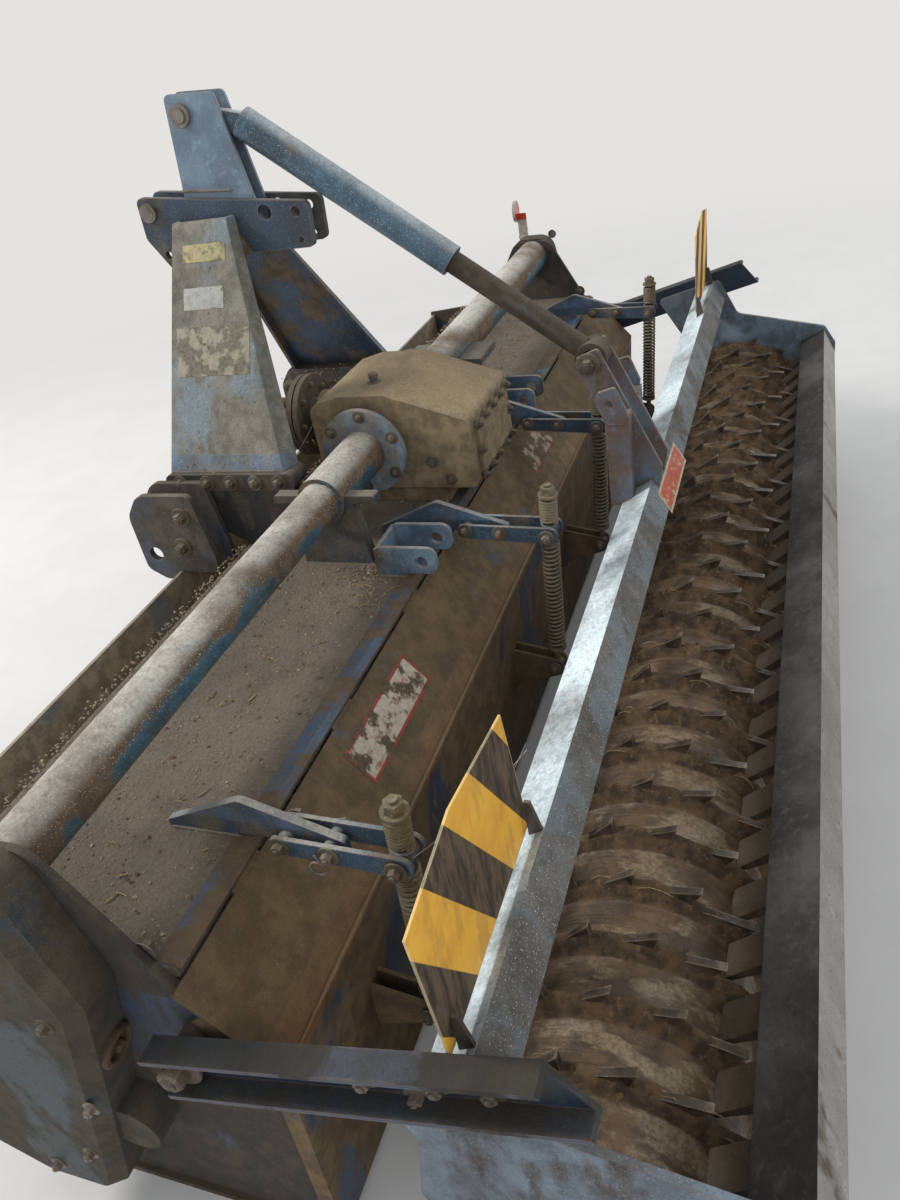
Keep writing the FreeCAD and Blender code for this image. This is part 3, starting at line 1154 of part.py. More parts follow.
bind(trim, Length="100", Width="80", Height="200", turn="arm_angle + 24", x="arm_web_in - 10",
     y="pivot_y + (arm_reach - 14) * cos(arm_angle) + 60 * sin(arm_angle)",
     z="pivot_z + (arm_reach - 14) * sin(arm_angle) - 60 * cos(arm_angle)")
arm_near = cut("roller_arm", fuse("arm_whole", *arm_pieces), arm_hole, trim)
node(group("arm_pair", arm_near, mirror("roller_arm_far", arm_near)), "roller_arms")


def square_tube(name, side, wall, tilt, y, z, half):
    """A square tube lying across the machine, its upper edge at a given line."""
    pair = []
    for tail, inset in (("out", "0"), ("in", wall)):
        piece = doc.addObject("Part::Box", name + "_" + tail)
        piece.Placement = FreeCAD.Placement(V(0, 0, 0), FreeCAD.Rotation(V(1, 0, 0), 20))
        extra = "0" if tail == "out" else "2"
        bind(piece, Length="2 * (%s) + 2 * %s" % (half, extra), Width="%s - 2 * (%s)" % (side, inset),
             Height="%s - 2 * (%s)" % (side, inset), turn=tilt, x="-(%s) - %s" % (half, extra),
             y="%s - (%s - %s) * cos(%s) + (%s - %s) * sin(%s)" % (y, side, inset, tilt, side, inset, tilt),
             z="%s - (%s - %s) * sin(%s) - (%s - %s) * cos(%s)" % (z, side, inset, tilt, side, inset, tilt))
        pair.append(piece)
    return cut(name, pair[0], pair[1])


node(square_tube("roller_beam", "beam_side", "beam_wall", "beam_tilt", "ridge_y", "ridge_z", "roll_half"),
     "roller_beam")
node(square_tube("scraper_bar", "bar_side", "bar_wall", "bar_tilt", "crest_y", "crest_z", "roll_half"),
     "scraper_bar")

# Roller end plates with their bearings
end_raw = plate("end_plate_raw", "end_plate", "YZ", "end_in", "end_t")
bearing = rod("end_bearing", "x", "58", "26", "arm_web_in - weld_gap - 1", "roller_y", "roller_z")
end_hole = rod("end_hole", "x", "stub_r + pin_gap", "90", "end_in - 1", "roller_y", "roller_z")
end_r = node(cut("end_plate", fuse("end_plate_whole", end_raw, bearing), end_hole), "roller_end_plate_R")
node(mirror("end_plate_far", end_r), "roller_end_plate_L")

# Scraper blades between the tooth rings
blades = []
gap = num("drum_r") + num("blade_gap")
low = V(0, num("roller_y"), num("roller_z"))
bar_low = V(0, num("crest_y"), num("crest_z"))
tilt = math.radians(num("bar_tilt"))
side = num("bar_side")
corner_front = bar_low + V(0, -side * math.cos(tilt), -side * math.sin(tilt))
corner_low = corner_front + V(0, side * math.sin(tilt), -side * math.cos(tilt))
down = (corner_low - corner_front).normalize()
out = V(0, -math.cos(tilt), -math.sin(tilt))
start = corner_front + down * (num("blade_seat_high") + 8) + out * num("weld_gap")
toward = (low - start).normalize()
tip_point = low - toward * gap
across = V(0, -toward.z, toward.y) * num("blade_t")
root_a = corner_front + down * num("blade_seat_high") + out * num("weld_gap")
root_b = corner_front + down * num("blade_seat_low") + out * num("weld_gap")
profile = [root_a, root_b, tip_point + across * 0.6, tip_point - across * 0.4]
for i in range(int(num("rings")) - 1):
    x = (i - (num("rings") - 2) / 2) * num("ring_pitch")
    face = Part.Face(Part.makePolygon([p + V(x - num("blade_wide") / 2, 0, 0)
                                       for p in profile + profile[:1]]))
    blades.append(face.extrude(V(num("blade_wide"), 0, 0)))
node(coded("blade_set", Part.makeCompound(blades)), "scraper_blades")

# Stay tower on the roller beam, with its pin
tower_strip = plate("tower_strip", "tower_plate", "YZ", "tower_in", "tower_t")
tower_post = plate("tower_post", "tower_post", "YZ", "tower_in + tower_t - 1", "post_side + 1")
ear_raw = plate("tower_ear_raw", "tower_ear", "YZ", "tower_in + tower_t + post_side - ear_t + 2", "ear_t")
ear_hole = rod("tower_ear_hole", "x", "ear_r", "2 * ear_t", "tower_in + tower_t + post_side - 1.5 * ear_t",
               "ear_y", "ear_z")
tower_near = cut("tower_near", fuse("tower_near_whole", tower_strip, tower_post, ear_raw), ear_hole)
tower_pin = rod("tower_pin", "x", "stay_pin_r", "2 * (tower_in + tower_t) + 24",
                "-tower_in - tower_t - 12", "tower_pin_y", "tower_pin_z")
tower_tie = rod("tower_tie", "x", "12", "2 * tower_in + 2", "-tower_in - 1", "300", "800")
node(fuse("tower", tower_near, mirror("tower_far", tower_near), tower_pin, tower_tie), "stay_tower")

# Stay: tube pinned to the mast head, rod sliding in it
STAY = (
    ("tube_bar", "stay_tube_r", "stay_tube_from", "stay_tube_to - stay_tube_from"),
    ("tube_bore", "stay_rod_r + pin_gap", "stay_tube_from + stay_plug", "stay_tube_to - stay_tube_from"),
    ("rod_bar", "stay_rod_r", "stay_rod_from", "stay_len - stay_rod_from - stay_end_r + 6"),
)
stay = {}
for name, radius, low, length in STAY:
    piece = doc.addObject("Part::Cylinder", "stay_" + name)
    piece.Placement = FreeCAD.Placement(V(0, 0, 0), FreeCAD.Rotation(V(-1, 0, 0), 100))
    stay[name] = bind(piece, Radius=radius, Height=length, turn="90 - stay_angle",
                      y="stay_from_y + (%s) * stay_c" % low, z="stay_from_z - (%s) * stay_s" % low)
neck = plate("stay_neck", "stay_neck", "YZ", "-stay_eye_t / 2", "stay_eye_t")
eye_front = rod("stay_eye_front", "x", "stay_eye_r", "stay_eye_t", "-stay_eye_t / 2", "stay_y", "stay_z")
eye_front_hole = rod("stay_eye_front_hole", "x", "stay_pin_r + pin_gap", "60", "-30", "stay_y", "stay_z")
node(cut("stay_tube_cut", fuse("stay_tube_whole", stay["tube_bar"], neck, eye_front),
         stay["tube_bore"], eye_front_hole), "stay_tube")
eye_rear = rod("stay_eye_rear", "x", "stay_end_r", "2 * stay_rod_r + 8", "-stay_rod_r - 4",
               "tower_pin_y", "tower_pin_z")
eye_rear_hole = rod("stay_eye_rear_hole", "x", "stay_pin_r + stay_free", "80", "-40", "tower_pin_y",
                    "tower_pin_z")
node(cut("stay_rod_cut", fuse("stay_rod_whole", stay["rod_bar"], eye_rear), eye_rear_hole), "stay_rod")

# Warning boards and their straps
board_near = plate("board", "board", "XZ", "board_y", "board_t")
node(group("board_pair", board_near, mirror("board_far", board_near)), "warning_boards")
straps = []
for name, x in (("in", "arm_web_in - 362"), ("out", "arm_web_in - 30")):
    straps.append(plate("strap_" + name, "board_strap", "YZ", x, "6"))
strap_pair = group("strap_near", *straps)
node(group("strap_set", strap_pair, mirror("strap_far", strap_pair)), "board_straps")

# Packer roller: drum with stub axles, and the tooth rings
drum = rod("drum_skin", "x", "drum_r", "2 * drum_half", "-drum_half", "roller_y", "roller_z")
drum_bore = rod("drum_bore", "x", "drum_r - drum_wall", "2 * drum_half - 24", "-drum_half + 12",
                "roller_y", "roller_z")
stubs = rod("drum_stubs", "x", "stub_r", "2 * (arm_web_in + 16)", "-arm_web_in - 16", "roller_y",
            "roller_z")
node(fuse("drum", cut("drum_shell", drum, drum_bore), stubs), "roller_drum")


def tooth_ring(x, turn):
    """One ring of hooked teeth round the drum."""
    count = int(num("teeth"))
    pitch = 360.0 / count
    seat = (num("drum_r") + num("weld_gap")) / math.cos(math.pi / count)

    def spot(radius, degrees):
        angle = math.radians(degrees)
        return V(x, num("roller_y") + radius * math.cos(angle), num("roller_z") + radius * math.sin(angle))

    outer = []
    for i in range(count):
        tip = turn - i * pitch
        outer.append(spot(num("tip_r"), tip))
        outer.append(spot(num("ring_root"), tip + 0.04 * pitch))
    inner = [spot(seat, turn - i * pitch) for i in range(count)]
    loops = [Part.makePolygon(outer + outer[:1]), Part.makePolygon(inner + inner[:1])]
    face = Part.makeFace(loops, "Part::FaceMakerBullseye")
    return face.extrude(V(num("ring_t"), 0, 0))


rings = []
for i in range(int(num("rings"))):
    x = (i - (num("rings") - 1) / 2) * num("ring_pitch") - num("ring_t") / 2
    rings.append(tooth_ring(x, num("tooth_turn") - (0 if i % 2 else 180 / num("teeth"))))
node(coded("ring_set", Part.makeCompound(rings)), "tooth_rings")

node(group("reflector_pair", reflector_r, mirror("reflector_far", reflector_r)), "reflectors")

doc.recompute()

bad = [o.Name for o in doc.Objects if "Invalid" in o.State or "Error" in o.State]
if bad:
    raise RuntimeError("objects in error: " + ", ".join(bad))
os.makedirs("parts", exist_ok=True)
for thing, name in NODES:
    shape = thing.Shape
    if shape.isNull() or not shape.isValid() or not shape.Solids:
        raise RuntimeError("bad shape: " + name)
    shape.exportStep("parts/%s.step" % name)
    box = shape.BoundBox
    print("%-22s solids %3d  x %7.1f %7.1f  y %7.1f %7.1f  z %7.1f %7.1f" % (
        name, len(shape.Solids), box.XMin, box.XMax, box.YMin, box.YMax, box.ZMin, box.ZMax))
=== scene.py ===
"""The looks of a rotary tiller with a packer roller.

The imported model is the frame. Each of its nodes gets a weathered finish here, and what
stands on them is added: coil springs, bolts, welds, blank plates, soil and straw.
Lengths in the tables are millimetres, with X across the machine, Y to its rear and Z up.
"""
import math
import random

import bmesh
import bpy
from mathutils import Matrix, Vector, noise


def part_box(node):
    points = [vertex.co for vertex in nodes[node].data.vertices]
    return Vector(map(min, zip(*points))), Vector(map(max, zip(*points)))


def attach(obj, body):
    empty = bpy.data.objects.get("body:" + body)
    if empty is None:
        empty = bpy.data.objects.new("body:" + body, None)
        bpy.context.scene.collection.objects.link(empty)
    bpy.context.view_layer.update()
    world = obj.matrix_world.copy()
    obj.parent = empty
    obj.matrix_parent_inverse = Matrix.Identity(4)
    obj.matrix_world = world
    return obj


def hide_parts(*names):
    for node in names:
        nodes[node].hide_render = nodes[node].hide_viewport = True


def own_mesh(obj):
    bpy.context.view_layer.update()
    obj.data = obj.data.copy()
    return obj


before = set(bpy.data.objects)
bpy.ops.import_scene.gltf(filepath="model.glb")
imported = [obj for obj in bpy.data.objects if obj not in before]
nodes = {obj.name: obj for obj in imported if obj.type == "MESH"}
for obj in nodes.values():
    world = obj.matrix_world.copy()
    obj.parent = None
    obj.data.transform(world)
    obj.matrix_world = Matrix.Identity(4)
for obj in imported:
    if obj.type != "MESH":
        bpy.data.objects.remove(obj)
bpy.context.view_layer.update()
scene = bpy.context.scene
MM = 0.001
dice = random.Random(11)


# Colours and finishes

def colour(red, green, blue):
    """An sRGB colour of 0 to 255 as a linear one."""
    linear = []
    for value in (red, green, blue):
        value /= 255
        linear.append(value / 12.92 if value <= 0.04045 else ((value + 0.055) / 1.055) ** 2.4)
    return (*linear, 1.0)


def shaded(tone, factor):
    """A tone made darker or lighter."""
    return tuple(min(255, value * factor) for value in tone)


class Finish:
    """A procedural material, built in coats from the paint outwards."""

    def __init__(self, name, rough=0.5, metal=0.0):
        self.material = bpy.data.materials.new(name)
        self.material.use_nodes = True
        self.tree = self.material.node_tree
        self.shader = self.tree.nodes["Principled BSDF"]
        self.shader.inputs["Metallic"].default_value = metal
        self.shader.inputs["Roughness"].default_value = rough
        self.rough = rough
        self.spot = self.add("ShaderNodeTexCoord").outputs["Object"]
        self.normal = self.add("ShaderNodeNewGeometry").outputs["Normal"]
        self.up = self.add("ShaderNodeSeparateXYZ", {"Vector": self.normal}).outputs["Z"]
        self.axes = self.add("ShaderNodeSeparateXYZ", {"Vector": self.spot}).outputs
        self.colour = None
        self.heights = []

    def add(self, kind, inputs=None, **settings):
        """Adds a node, sets it up and feeds its inputs with values or sockets."""
        made = self.tree.nodes.new(kind)
        for name, value in settings.items():
            setattr(made, name, value)
        for name, value in (inputs or {}).items():
            if isinstance(value, bpy.types.NodeSocket):
                self.tree.links.new(value, made.inputs[name])
            else:
                made.inputs[name].default_value = value
        return made

    def calc(self, operation, first, second=0.0):
        """A sum, product or other figure of two values."""
        return self.add("ShaderNodeMath", {0: first, 1: second}, operation=operation).outputs[0]

    def grain(self, scale, detail=4.0, rough=0.6, stretch=None, shift=0.0):
        """Noise of a given number of lumps a metre, perhaps stretched along an axis."""
        spot = self.spot
        if stretch or shift:
            moved = {"Location": (shift, shift * 1.7, shift * 0.6), "Scale": stretch or (1, 1, 1)}
            spot = self.add("ShaderNodeMapping", {"Vector": spot, **moved}).outputs[0]
        inputs = {"Vector": spot, "Scale": scale, "Detail": detail, "Roughness": rough}
        return self.add("ShaderNodeTexNoise", inputs).outputs["Fac"]

    def step(self, value, low, high):
        """0 below low, 1 above high, smooth between."""
        inputs = {"Value": value, "From Min": low, "From Max": high}
        return self.add("ShaderNodeMapRange", inputs, interpolation_type="SMOOTHSTEP").outputs[0]

    def blend(self, share, below, above):
        """One colour over another."""
        inputs = {"Factor": share, 6: below, 7: above}
        return self.add("ShaderNodeMix", inputs, data_type="RGBA").outputs[2]

    def edge(self, radius):
        """Above 0 where a face bends over an edge."""
        bevel = self.add("ShaderNodeBevel", {"Radius": radius}, samples=3).outputs[0]
        across = self.add("ShaderNodeVectorMath", {0: bevel, 1: self.normal}, operation="DOT_PRODUCT")
        return self.calc("SUBTRACT", 1.0, across.outputs["Value"])

    def band(self, axis, low, high, soft=0.004):
        """1 between two places along an axis, on both sides of the middle for the first."""
        place = self.axes[axis] if axis else self.calc("ABSOLUTE", self.axes[axis])
        above = self.step(place, low - soft, low + soft)
        below = self.step(place, high - soft, high + soft)
        return self.calc("SUBTRACT", above, below)

    def coat(self, share, tone, other=None, scale=60.0):
        """Lays a coat over what is there; with a second tone it is mottled."""
        if other is not None:
            tone = self.blend(self.step(self.grain(scale, 4.0, 0.65), 0.36, 0.64), tone, other)
        self.colour = tone if self.colour is None else self.blend(share, self.colour, tone)

    def cover(self, share, scale, stretch=None, lift=None, shift=0.0):
        """A patchy mask that covers about a share of the surface."""
        value = self.grain(scale, 5.0, 0.62, stretch, shift)
        if lift is not None:
            value = self.calc("ADD", value, lift)
        middle = 0.5 + (0.5 - share) * 0.62
        return self.step(value, middle - 0.045, middle + 0.045)

    def bump(self, height, distance):
        """A relief, as a height from 0 to 1 and its depth in metres."""
        self.heights.append((height, distance))

    def matt(self, mask, rough):
        """Makes the surface rougher or smoother where a mask is 1."""
        inputs = {"Factor": mask, 2: self.rough, 3: rough}
        self.rough = self.add("ShaderNodeMix", inputs, data_type="FLOAT").outputs[0]

    def done(self, rounded=0.0):
        """Joins the coats to the shader and returns the material, with its edges rounded or not."""
        normal = self.normal
        if rounded:
            normal = self.add("ShaderNodeBevel", {"Radius": rounded}, samples=3).outputs[0]
        for height, distance in self.heights:
            inputs = {"Height": height, "Distance": distance, "Strength": 0.8, "Normal": normal}
            normal = self.add("ShaderNodeBump", inputs).outputs[0]
        self.tree.links.new(normal, self.shader.inputs["Normal"])
        self.tree.links.new(self.colour, self.shader.inputs["Base Color"])
        if isinstance(self.rough, bpy.types.NodeSocket):
            self.tree.links.new(self.rough, self.shader.inputs["Roughness"])
        return self.material


# Finishes of painted and bare steel. Shares run from 0 to 1.
# name, paint, its second tone, soil, soil share, rust share, dust on top (on the beam, tube and stay also a
# painted highlight, on the scraper painted shade), its share, gloss, relief
STEELS = (
    ("hood", (58, 80, 108), (46, 64, 88), (110, 100, 85), 0.97, 0.04, (127, 116, 100), 0.9, 0.5, 3.2),
    ("cover", (44, 88, 126), (40, 66, 90), (104, 84, 58), 0.4, 0.3, (112, 104, 90), 0.25, 0.45, 1.0),
    ("trough", (124, 130, 132), (106, 112, 114), (158, 145, 122), 0.6, 0.16, (176, 168, 150), 0.6, 0.5, 1.2),
    ("side", (44, 68, 98), (42, 50, 58), (70, 64, 55), 0.8, 0.12, (100, 92, 80), 0.6, 0.5, 0.7),
    ("case", (38, 56, 66), (32, 44, 51), (76, 69, 57), 0.58, 0.1, (94, 88, 76), 0.6, 0.5, 0.9),
    ("gearbox", (112, 122, 128), (94, 102, 108), (148, 130, 100), 0.86, 0.07, (166, 147, 112), 0.92, 0.55, 1.2),
    # tube: its pale top tone is dust and a painted highlight
    ("tube", (54, 90, 106), (46, 74, 88), (108, 88, 66), 0.44, 0.24, (210, 208, 197), 0.92, 0.42, 0.8),
    ("leg", (113, 128, 135), (98, 113, 121), (132, 128, 116), 0.5, 0.03, (160, 160, 150), 0.7, 0.55, 1.0),
    ("far_leg", (50, 76, 106), (38, 56, 76), (116, 102, 82), 0.36, 0.06, (150, 144, 130), 0.8, 0.5, 0.8),
    ("mast", (48, 68, 88), (40, 54, 68), (92, 90, 82), 0.4, 0.05, (132, 132, 124), 0.7, 0.45, 0.6),
    ("head", (118, 140, 158), (98, 118, 135), (136, 132, 123), 0.3, 0.08, (160, 160, 152), 0.7, 0.45, 0.6),
    ("bracket", (62, 76, 92), (50, 58, 68), (88, 82, 72), 0.55, 0.1, (128, 122, 110), 0.8, 0.5, 0.8),
    ("box", (112, 136, 156), (74, 94, 114), (100, 92, 78), 0.4, 0.12, (156, 152, 140), 0.8, 0.45, 0.7),
    ("rib", (62, 90, 112), (48, 68, 86), (104, 97, 84), 0.36, 0.1, (170, 168, 158), 0.8, 0.45, 0.8),
    ("sidebar", (48, 66, 88), (38, 50, 64), (80, 74, 64), 0.4, 0.1, (124, 120, 110), 0.7, 0.45, 0.6),
    ("gate", (56, 74, 94), (48, 60, 74), (112, 92, 64), 0.6, 0.32, (120, 106, 80), 0.4, 0.5, 1.0),
    ("ridge", (104, 88, 66), (84, 70, 54), (122, 98, 68), 0.5, 0.4, (138, 118, 88), 0.7, 0.55, 1.0),
    ("arm", (40, 58, 80), (32, 44, 58), (56, 51, 44), 0.34, 0.12, (58, 56, 49), 0.85, 0.42, 0.7),
    # beam: its pale top tone is dust and a painted highlight; scraper, next row: its dark top tone is soil and
    # painted shade
    ("beam", (84, 94, 100), (72, 80, 84), (84, 72, 56), 0.42, 0.2, (234, 250, 254), 1.0, 0.45, 0.6),
    ("scraper", (160, 156, 149), (144, 141, 134), (112, 102, 88), 0.22, 0.1, (29, 28, 26), 1.0, 0.5, 0.7),
    ("wing", (110, 128, 142), (92, 108, 120), (84, 72, 56), 0.34, 0.14, (152, 160, 162), 0.6, 0.5, 0.6),
    ("tower", (96, 116, 134), (106, 86, 78), (108, 94, 74), 0.36, 0.2, (150, 148, 138), 0.7, 0.45, 0.6),
    # stay: its pale top tone is dust and a painted highlight
    ("stay", (68, 98, 117), (44, 66, 80), (114, 103, 84), 0.24, 0.08, (206, 214, 214), 0.95, 0.32, 0.6),
    ("rod", (74, 70, 62), (60, 56, 50), (80, 70, 56), 0.5, 0.12, (98, 92, 80), 0.8, 0.32, 0.4),
    ("drum", (98, 90, 80), (78, 70, 60), (94, 77, 56), 0.7, 0.2, (118, 100, 76), 0.7, 0.36, 1.4),
    ("dark", (62, 58, 53), (50, 48, 45), (92, 82, 68), 0.5, 0.2, (124, 114, 96), 0.8, 0.5, 0.9),
    ("boss", (70, 56, 44), (54, 45, 37), (86, 68, 50), 0.6, 0.3, (92, 78, 60), 0.5, 0.5, 1.0),
    ("foot", (44, 48, 54), (36, 38, 42), (84, 77, 66), 0.45, 0.08, (116, 110, 98), 0.7, 0.45, 0.7),
    ("blade", (78, 72, 66), (62, 58, 52), (80, 67, 51), 0.55, 0.3, (104, 92, 76), 0.7, 0.4, 0.8),
    ("strap", (72, 72, 68), (60, 60, 58), (84, 76, 64), 0.4, 0.2, (120, 114, 102), 0.7, 0.4, 0.3),
    ("bolt", (112, 108, 98), (86, 82, 74), (98, 87, 70), 0.5, 0.22, (142, 134, 116), 0.8, 0.4, 0.4),
    ("spring", (122, 114, 88), (98, 92, 72), (104, 92, 68), 0.4, 0.14, (152, 144, 116), 0.8, 0.42, 0.4),
    ("collar", (126, 152, 172), (104, 128, 148), (118, 110, 94), 0.25, 0.06, (164, 164, 154), 0.6, 0.4, 0.3),
    ("pin", (128, 126, 118), (106, 102, 94), (100, 90, 73), 0.3, 0.25, (146, 138, 122), 0.6, 0.35, 0.4),
    ("weld", (86, 92, 94), (70, 74, 76), (104, 96, 82), 0.45, 0.2, (138, 132, 118), 0.8, 0.5, 0.6),
)

RUST = (colour(116, 68, 42), colour(146, 92, 54))
BARE = (colour(158, 156, 150), colour(120, 116, 110))
DOWN_STREAKS = (1.0, 1.0, 0.4)


def steel(name, paint, second, soil, soiled, rusted, dust_and_painted_light, dust_and_painted_light_share, gloss, relief):
    """Painted steel that has faded, chipped, rusted, been soiled and gone dusty; on the beam, tube and stay the
    top coat is also a painted highlight, on the scraper painted shade, and crevices get painted shade with
    their grime.
    """
    made = Finish("steel_" + name, rough=gloss)
    made.coat(1.0, colour(*paint), colour(*second), 9.0)
    made.coat(made.calc("MULTIPLY", made.cover(0.3, 34.0), 0.45), colour(*shaded(paint, 1.22)))
    scratches = made.cover(0.14, 80.0, (1.0, 0.1, 0.45))
    made.coat(made.calc("MULTIPLY", scratches, 0.3), colour(*shaded(paint, 1.45)))
    if name in PAINTED_BANDS:
        axis, low, high, tone, share = PAINTED_BANDS[name]
        band = made.band(axis, low, high, 0.003)
        made.coat(band, colour(*tone), colour(*shaded(tone, 0.72)), 16.0)
    edge = made.edge(0.005)
    facing = made.step(made.up, 0.4, 0.88)
    rise = made.step(made.up, -0.1, 0.6)
    lift = made.calc("MULTIPLY", rise, SOIL_LIFT.get(name, 0.07))
    soil_mask = made.cover(soiled, 7.0, DOWN_STREAKS, lift)
    spots = made.cover(0.1 + soiled * 0.28, 130.0, None, lift, 0.7)
    soil_mask = made.calc("MAXIMUM", soil_mask, made.calc("MULTIPLY", spots, 0.85))
    rust_mask = made.cover(rusted * 0.8, 15.0, None, made.calc("MULTIPLY", edge, 0.5), 1.3)
    chips = made.cover(rusted * 0.9, 95.0, None, made.calc("MULTIPLY", edge, 0.4), 2.1)
    rust_mask = made.calc("MAXIMUM", rust_mask, chips)
    wear = made.step(made.calc("MULTIPLY", edge, made.grain(45.0, 5.0, 0.7)), 0.03, 0.085)
    # Dusty coat on faces that look up; on the beam, tube and stay it is also a painted highlight, on the
    # scraper painted shade
    dust_and_painted_light_mask = made.calc("MULTIPLY", facing, made.step(made.grain(5.0, 5.0), 0.2, 0.62))
    thin = made.step(made.grain(60.0, 5.0, 0.7, shift=0.9), 0.3, 0.52)
    dust_and_painted_light_mask = made.calc("MULTIPLY", dust_and_painted_light_mask, made.calc("ADD", made.calc("MULTIPLY", thin, 0.4), 0.6))
    dust_and_painted_light_mask = made.calc("MULTIPLY", dust_and_painted_light_mask, dust_and_painted_light_share)
    if name in PAINTED_BANDS:
        ragged = made.step(made.grain(50.0, 5.0, 0.7, (1.0, 1.0, 0.3)), 0.3, 0.62)
        keep = made.calc("MULTIPLY", made.calc("MULTIPLY", band, ragged), share)
        free = made.calc("SUBTRACT", 1.0, keep)
        soil_mask = made.calc("MULTIPLY", soil_mask, free)
        dust_and_painted_light_mask = made.calc("MULTIPLY", dust_and_painted_light_mask, free)
    made.coat(made.calc("MULTIPLY", wear, 0.7), *BARE, 90.0)
    made.coat(rust_mask, *RUST, 55.0)
    made.coat(soil_mask, colour(*soil), colour(*shaded(soil, 0.76)), 26.0)
    # Painted shade: the scraper bar's upward front face is darkened further, as it lies in shade
    if name == "scraper":
        made.coat(made.calc("MULTIPLY", facing, 0.8), colour(37, 36, 33))
    # Top coat: dusty, with a painted highlight on the beam, tube and stay and painted shade on the scraper
    made.coat(dust_and_painted_light_mask, colour(*dust_and_painted_light), colour(*shaded(dust_and_painted_light, 0.88)), 150.0)
    bright = made.calc("MULTIPLY", made.step(made.grain(420.0, 2.0, 0.5), 0.63, 0.7), 0.5)
    made.coat(bright, colour(*shaded(dust_and_painted_light, 1.25)))
    pits = made.calc("MULTIPLY", made.step(made.grain(300.0, 2.0, 0.5, shift=1.9), 0.62, 0.7), 0.4)
    made.coat(pits, colour(*shaded(soil, 0.5)))
    # Dark soil tone where ambient occlusion finds crevices: grime, and painted shade where neighbouring parts
    # block the light
    hollow = made.calc("SUBTRACT", 1.0, made.add("ShaderNodeAmbientOcclusion", {"Distance": 0.05},
                                                 samples=2).outputs["AO"])
    crevice_grime_and_shade = made.calc("MULTIPLY", made.step(hollow, 0.25, 0.8), 0.6)
    made.coat(crevice_grime_and_shade, colour(*shaded(soil, 0.62)))
    cloud = made.calc("MULTIPLY", made.step(made.grain(3.4, 5.0, 0.6, shift=4.0), 0.42, 0.66), 0.34)
    made.coat(cloud, colour(*shaded(soil, 0.55)))
    made.matt(soil_mask, 0.88)
    made.matt(dust_and_painted_light_mask, 0.92)
    made.matt(rust_mask, 0.85)
    rough = made.calc("ADD", made.calc("MULTIPLY", rise, 0.6), 0.4)
    lumps = made.calc("MULTIPLY", made.grain(110.0, 5.0, 0.7), rough)
    made.bump(lumps, 0.0032 * relief)
    made.bump(made.grain(430.0, 3.0, 0.6), 0.0007 * relief)
    return made.done(0.0016)


# How much more soil lies on what faces up, where it isn't the usual share
SOIL_LIFT = {"tube": 0.2, "stay": 0.05}

# A band of fresher paint: axis, from, to in metres, its tone, how free of soil it stays
PAINTED_BANDS = {
    "leg": (2, 0.862, 0.902, (86, 116, 146), 0.9),
    "side": (2, 0.44, 0.62, (44, 78, 120), 0.75),
    "rib": (2, 0.714, 0.744, (92, 118, 146), 0.55),
    "gate": (2, 0.488, 0.546, (128, 94, 60), 0.75),
    "gearbox": (0, 0.1835, 0.205, (130, 156, 178), 0.9),
    "wing": (2, 0.300, 0.700, (118, 134, 148), 0.5),
}

finishes = {row[0]: steel(*row) for row in STEELS}


def tooth_steel():
    """Worn hooks: dark faces caked with earth, edges and tips polished."""
    made = Finish("tooth_steel", rough=0.42)
    made.coat(1.0, colour(54, 44, 34), colour(36, 30, 25), 26.0)
    made.coat(made.cover(0.22, 40.0), *RUST, 70.0)
    across = made.calc("POWER", made.calc("SUBTRACT", made.axes[1], 0.470), 2.0)
    high = made.calc("POWER", made.calc("SUBTRACT", made.axes[2], 0.245), 2.0)
    reach = made.calc("SQRT", made.calc("ADD", across, high))
    ragged = made.calc("ADD", reach, made.calc("MULTIPLY", made.grain(60.0), 0.016))
    tip = made.calc("MULTIPLY", made.step(ragged, 0.240, 0.256), 0.75)
    made.coat(tip, colour(136, 123, 102), colour(88, 77, 62), 90.0)
    soil = made.calc("MULTIPLY", made.cover(0.55, 34.0, shift=2.0), made.step(reach, 0.243, 0.212))
    made.coat(soil, colour(92, 75, 54), colour(66, 54, 40), 40.0)
    edge = made.calc("MULTIPLY", made.edge(0.0035), made.step(made.grain(38.0, 5.0, 0.7), 0.34, 0.6))
    rim = made.step(edge, 0.04, 0.13)
    made.coat(made.calc("MULTIPLY", rim, 0.6), colour(160, 148, 126))
    made.matt(soil, 0.9)
    made.matt(rim, 0.28)
    made.bump(made.grain(120.0, 5.0, 0.7), 0.0022)
    return made.done()


def tine_steel():
    """Tines: soil and rust at the flange, ground bright at the cutting end."""
    made = Finish("tine_steel", rough=0.4)
    made.coat(1.0, colour(74, 68, 62), colour(56, 52, 48), 22.0)
    made.coat(made.cover(0.5, 28.0), *RUST, 70.0)
    across = made.calc("POWER", made.calc("ADD", made.axes[1], 0.250), 2.0)
    high = made.calc("POWER", made.calc("SUBTRACT", made.axes[2], 0.300), 2.0)
    reach = made.calc("SQRT", made.calc("ADD", across, high))
    tip = made.step(made.calc("ADD", reach, made.calc("MULTIPLY", made.grain(40.0), 0.04)), 0.2, 0.25)
    made.coat(tip, colour(150, 146, 140), colour(112, 106, 98), 60.0)
    soil = made.cover(0.35, 18.0, shift=1.0)
    made.coat(soil, colour(96, 80, 60), colour(74, 61, 46), 40.0)
    made.matt(soil, 0.9)
    made.bump(made.grain(110.0, 5.0, 0.7), 0.002)
    return made.done()


# The boards' stripes: their slope, where one black stripe has its middle, and their pitch in metres
STRIPE_SINE = math.sin(math.radians(58.3))
STRIPE_COSINE = math.cos(math.radians(58.3))
STRIPE_FROM = 0.5574
STRIPE_WIDE = 0.0708


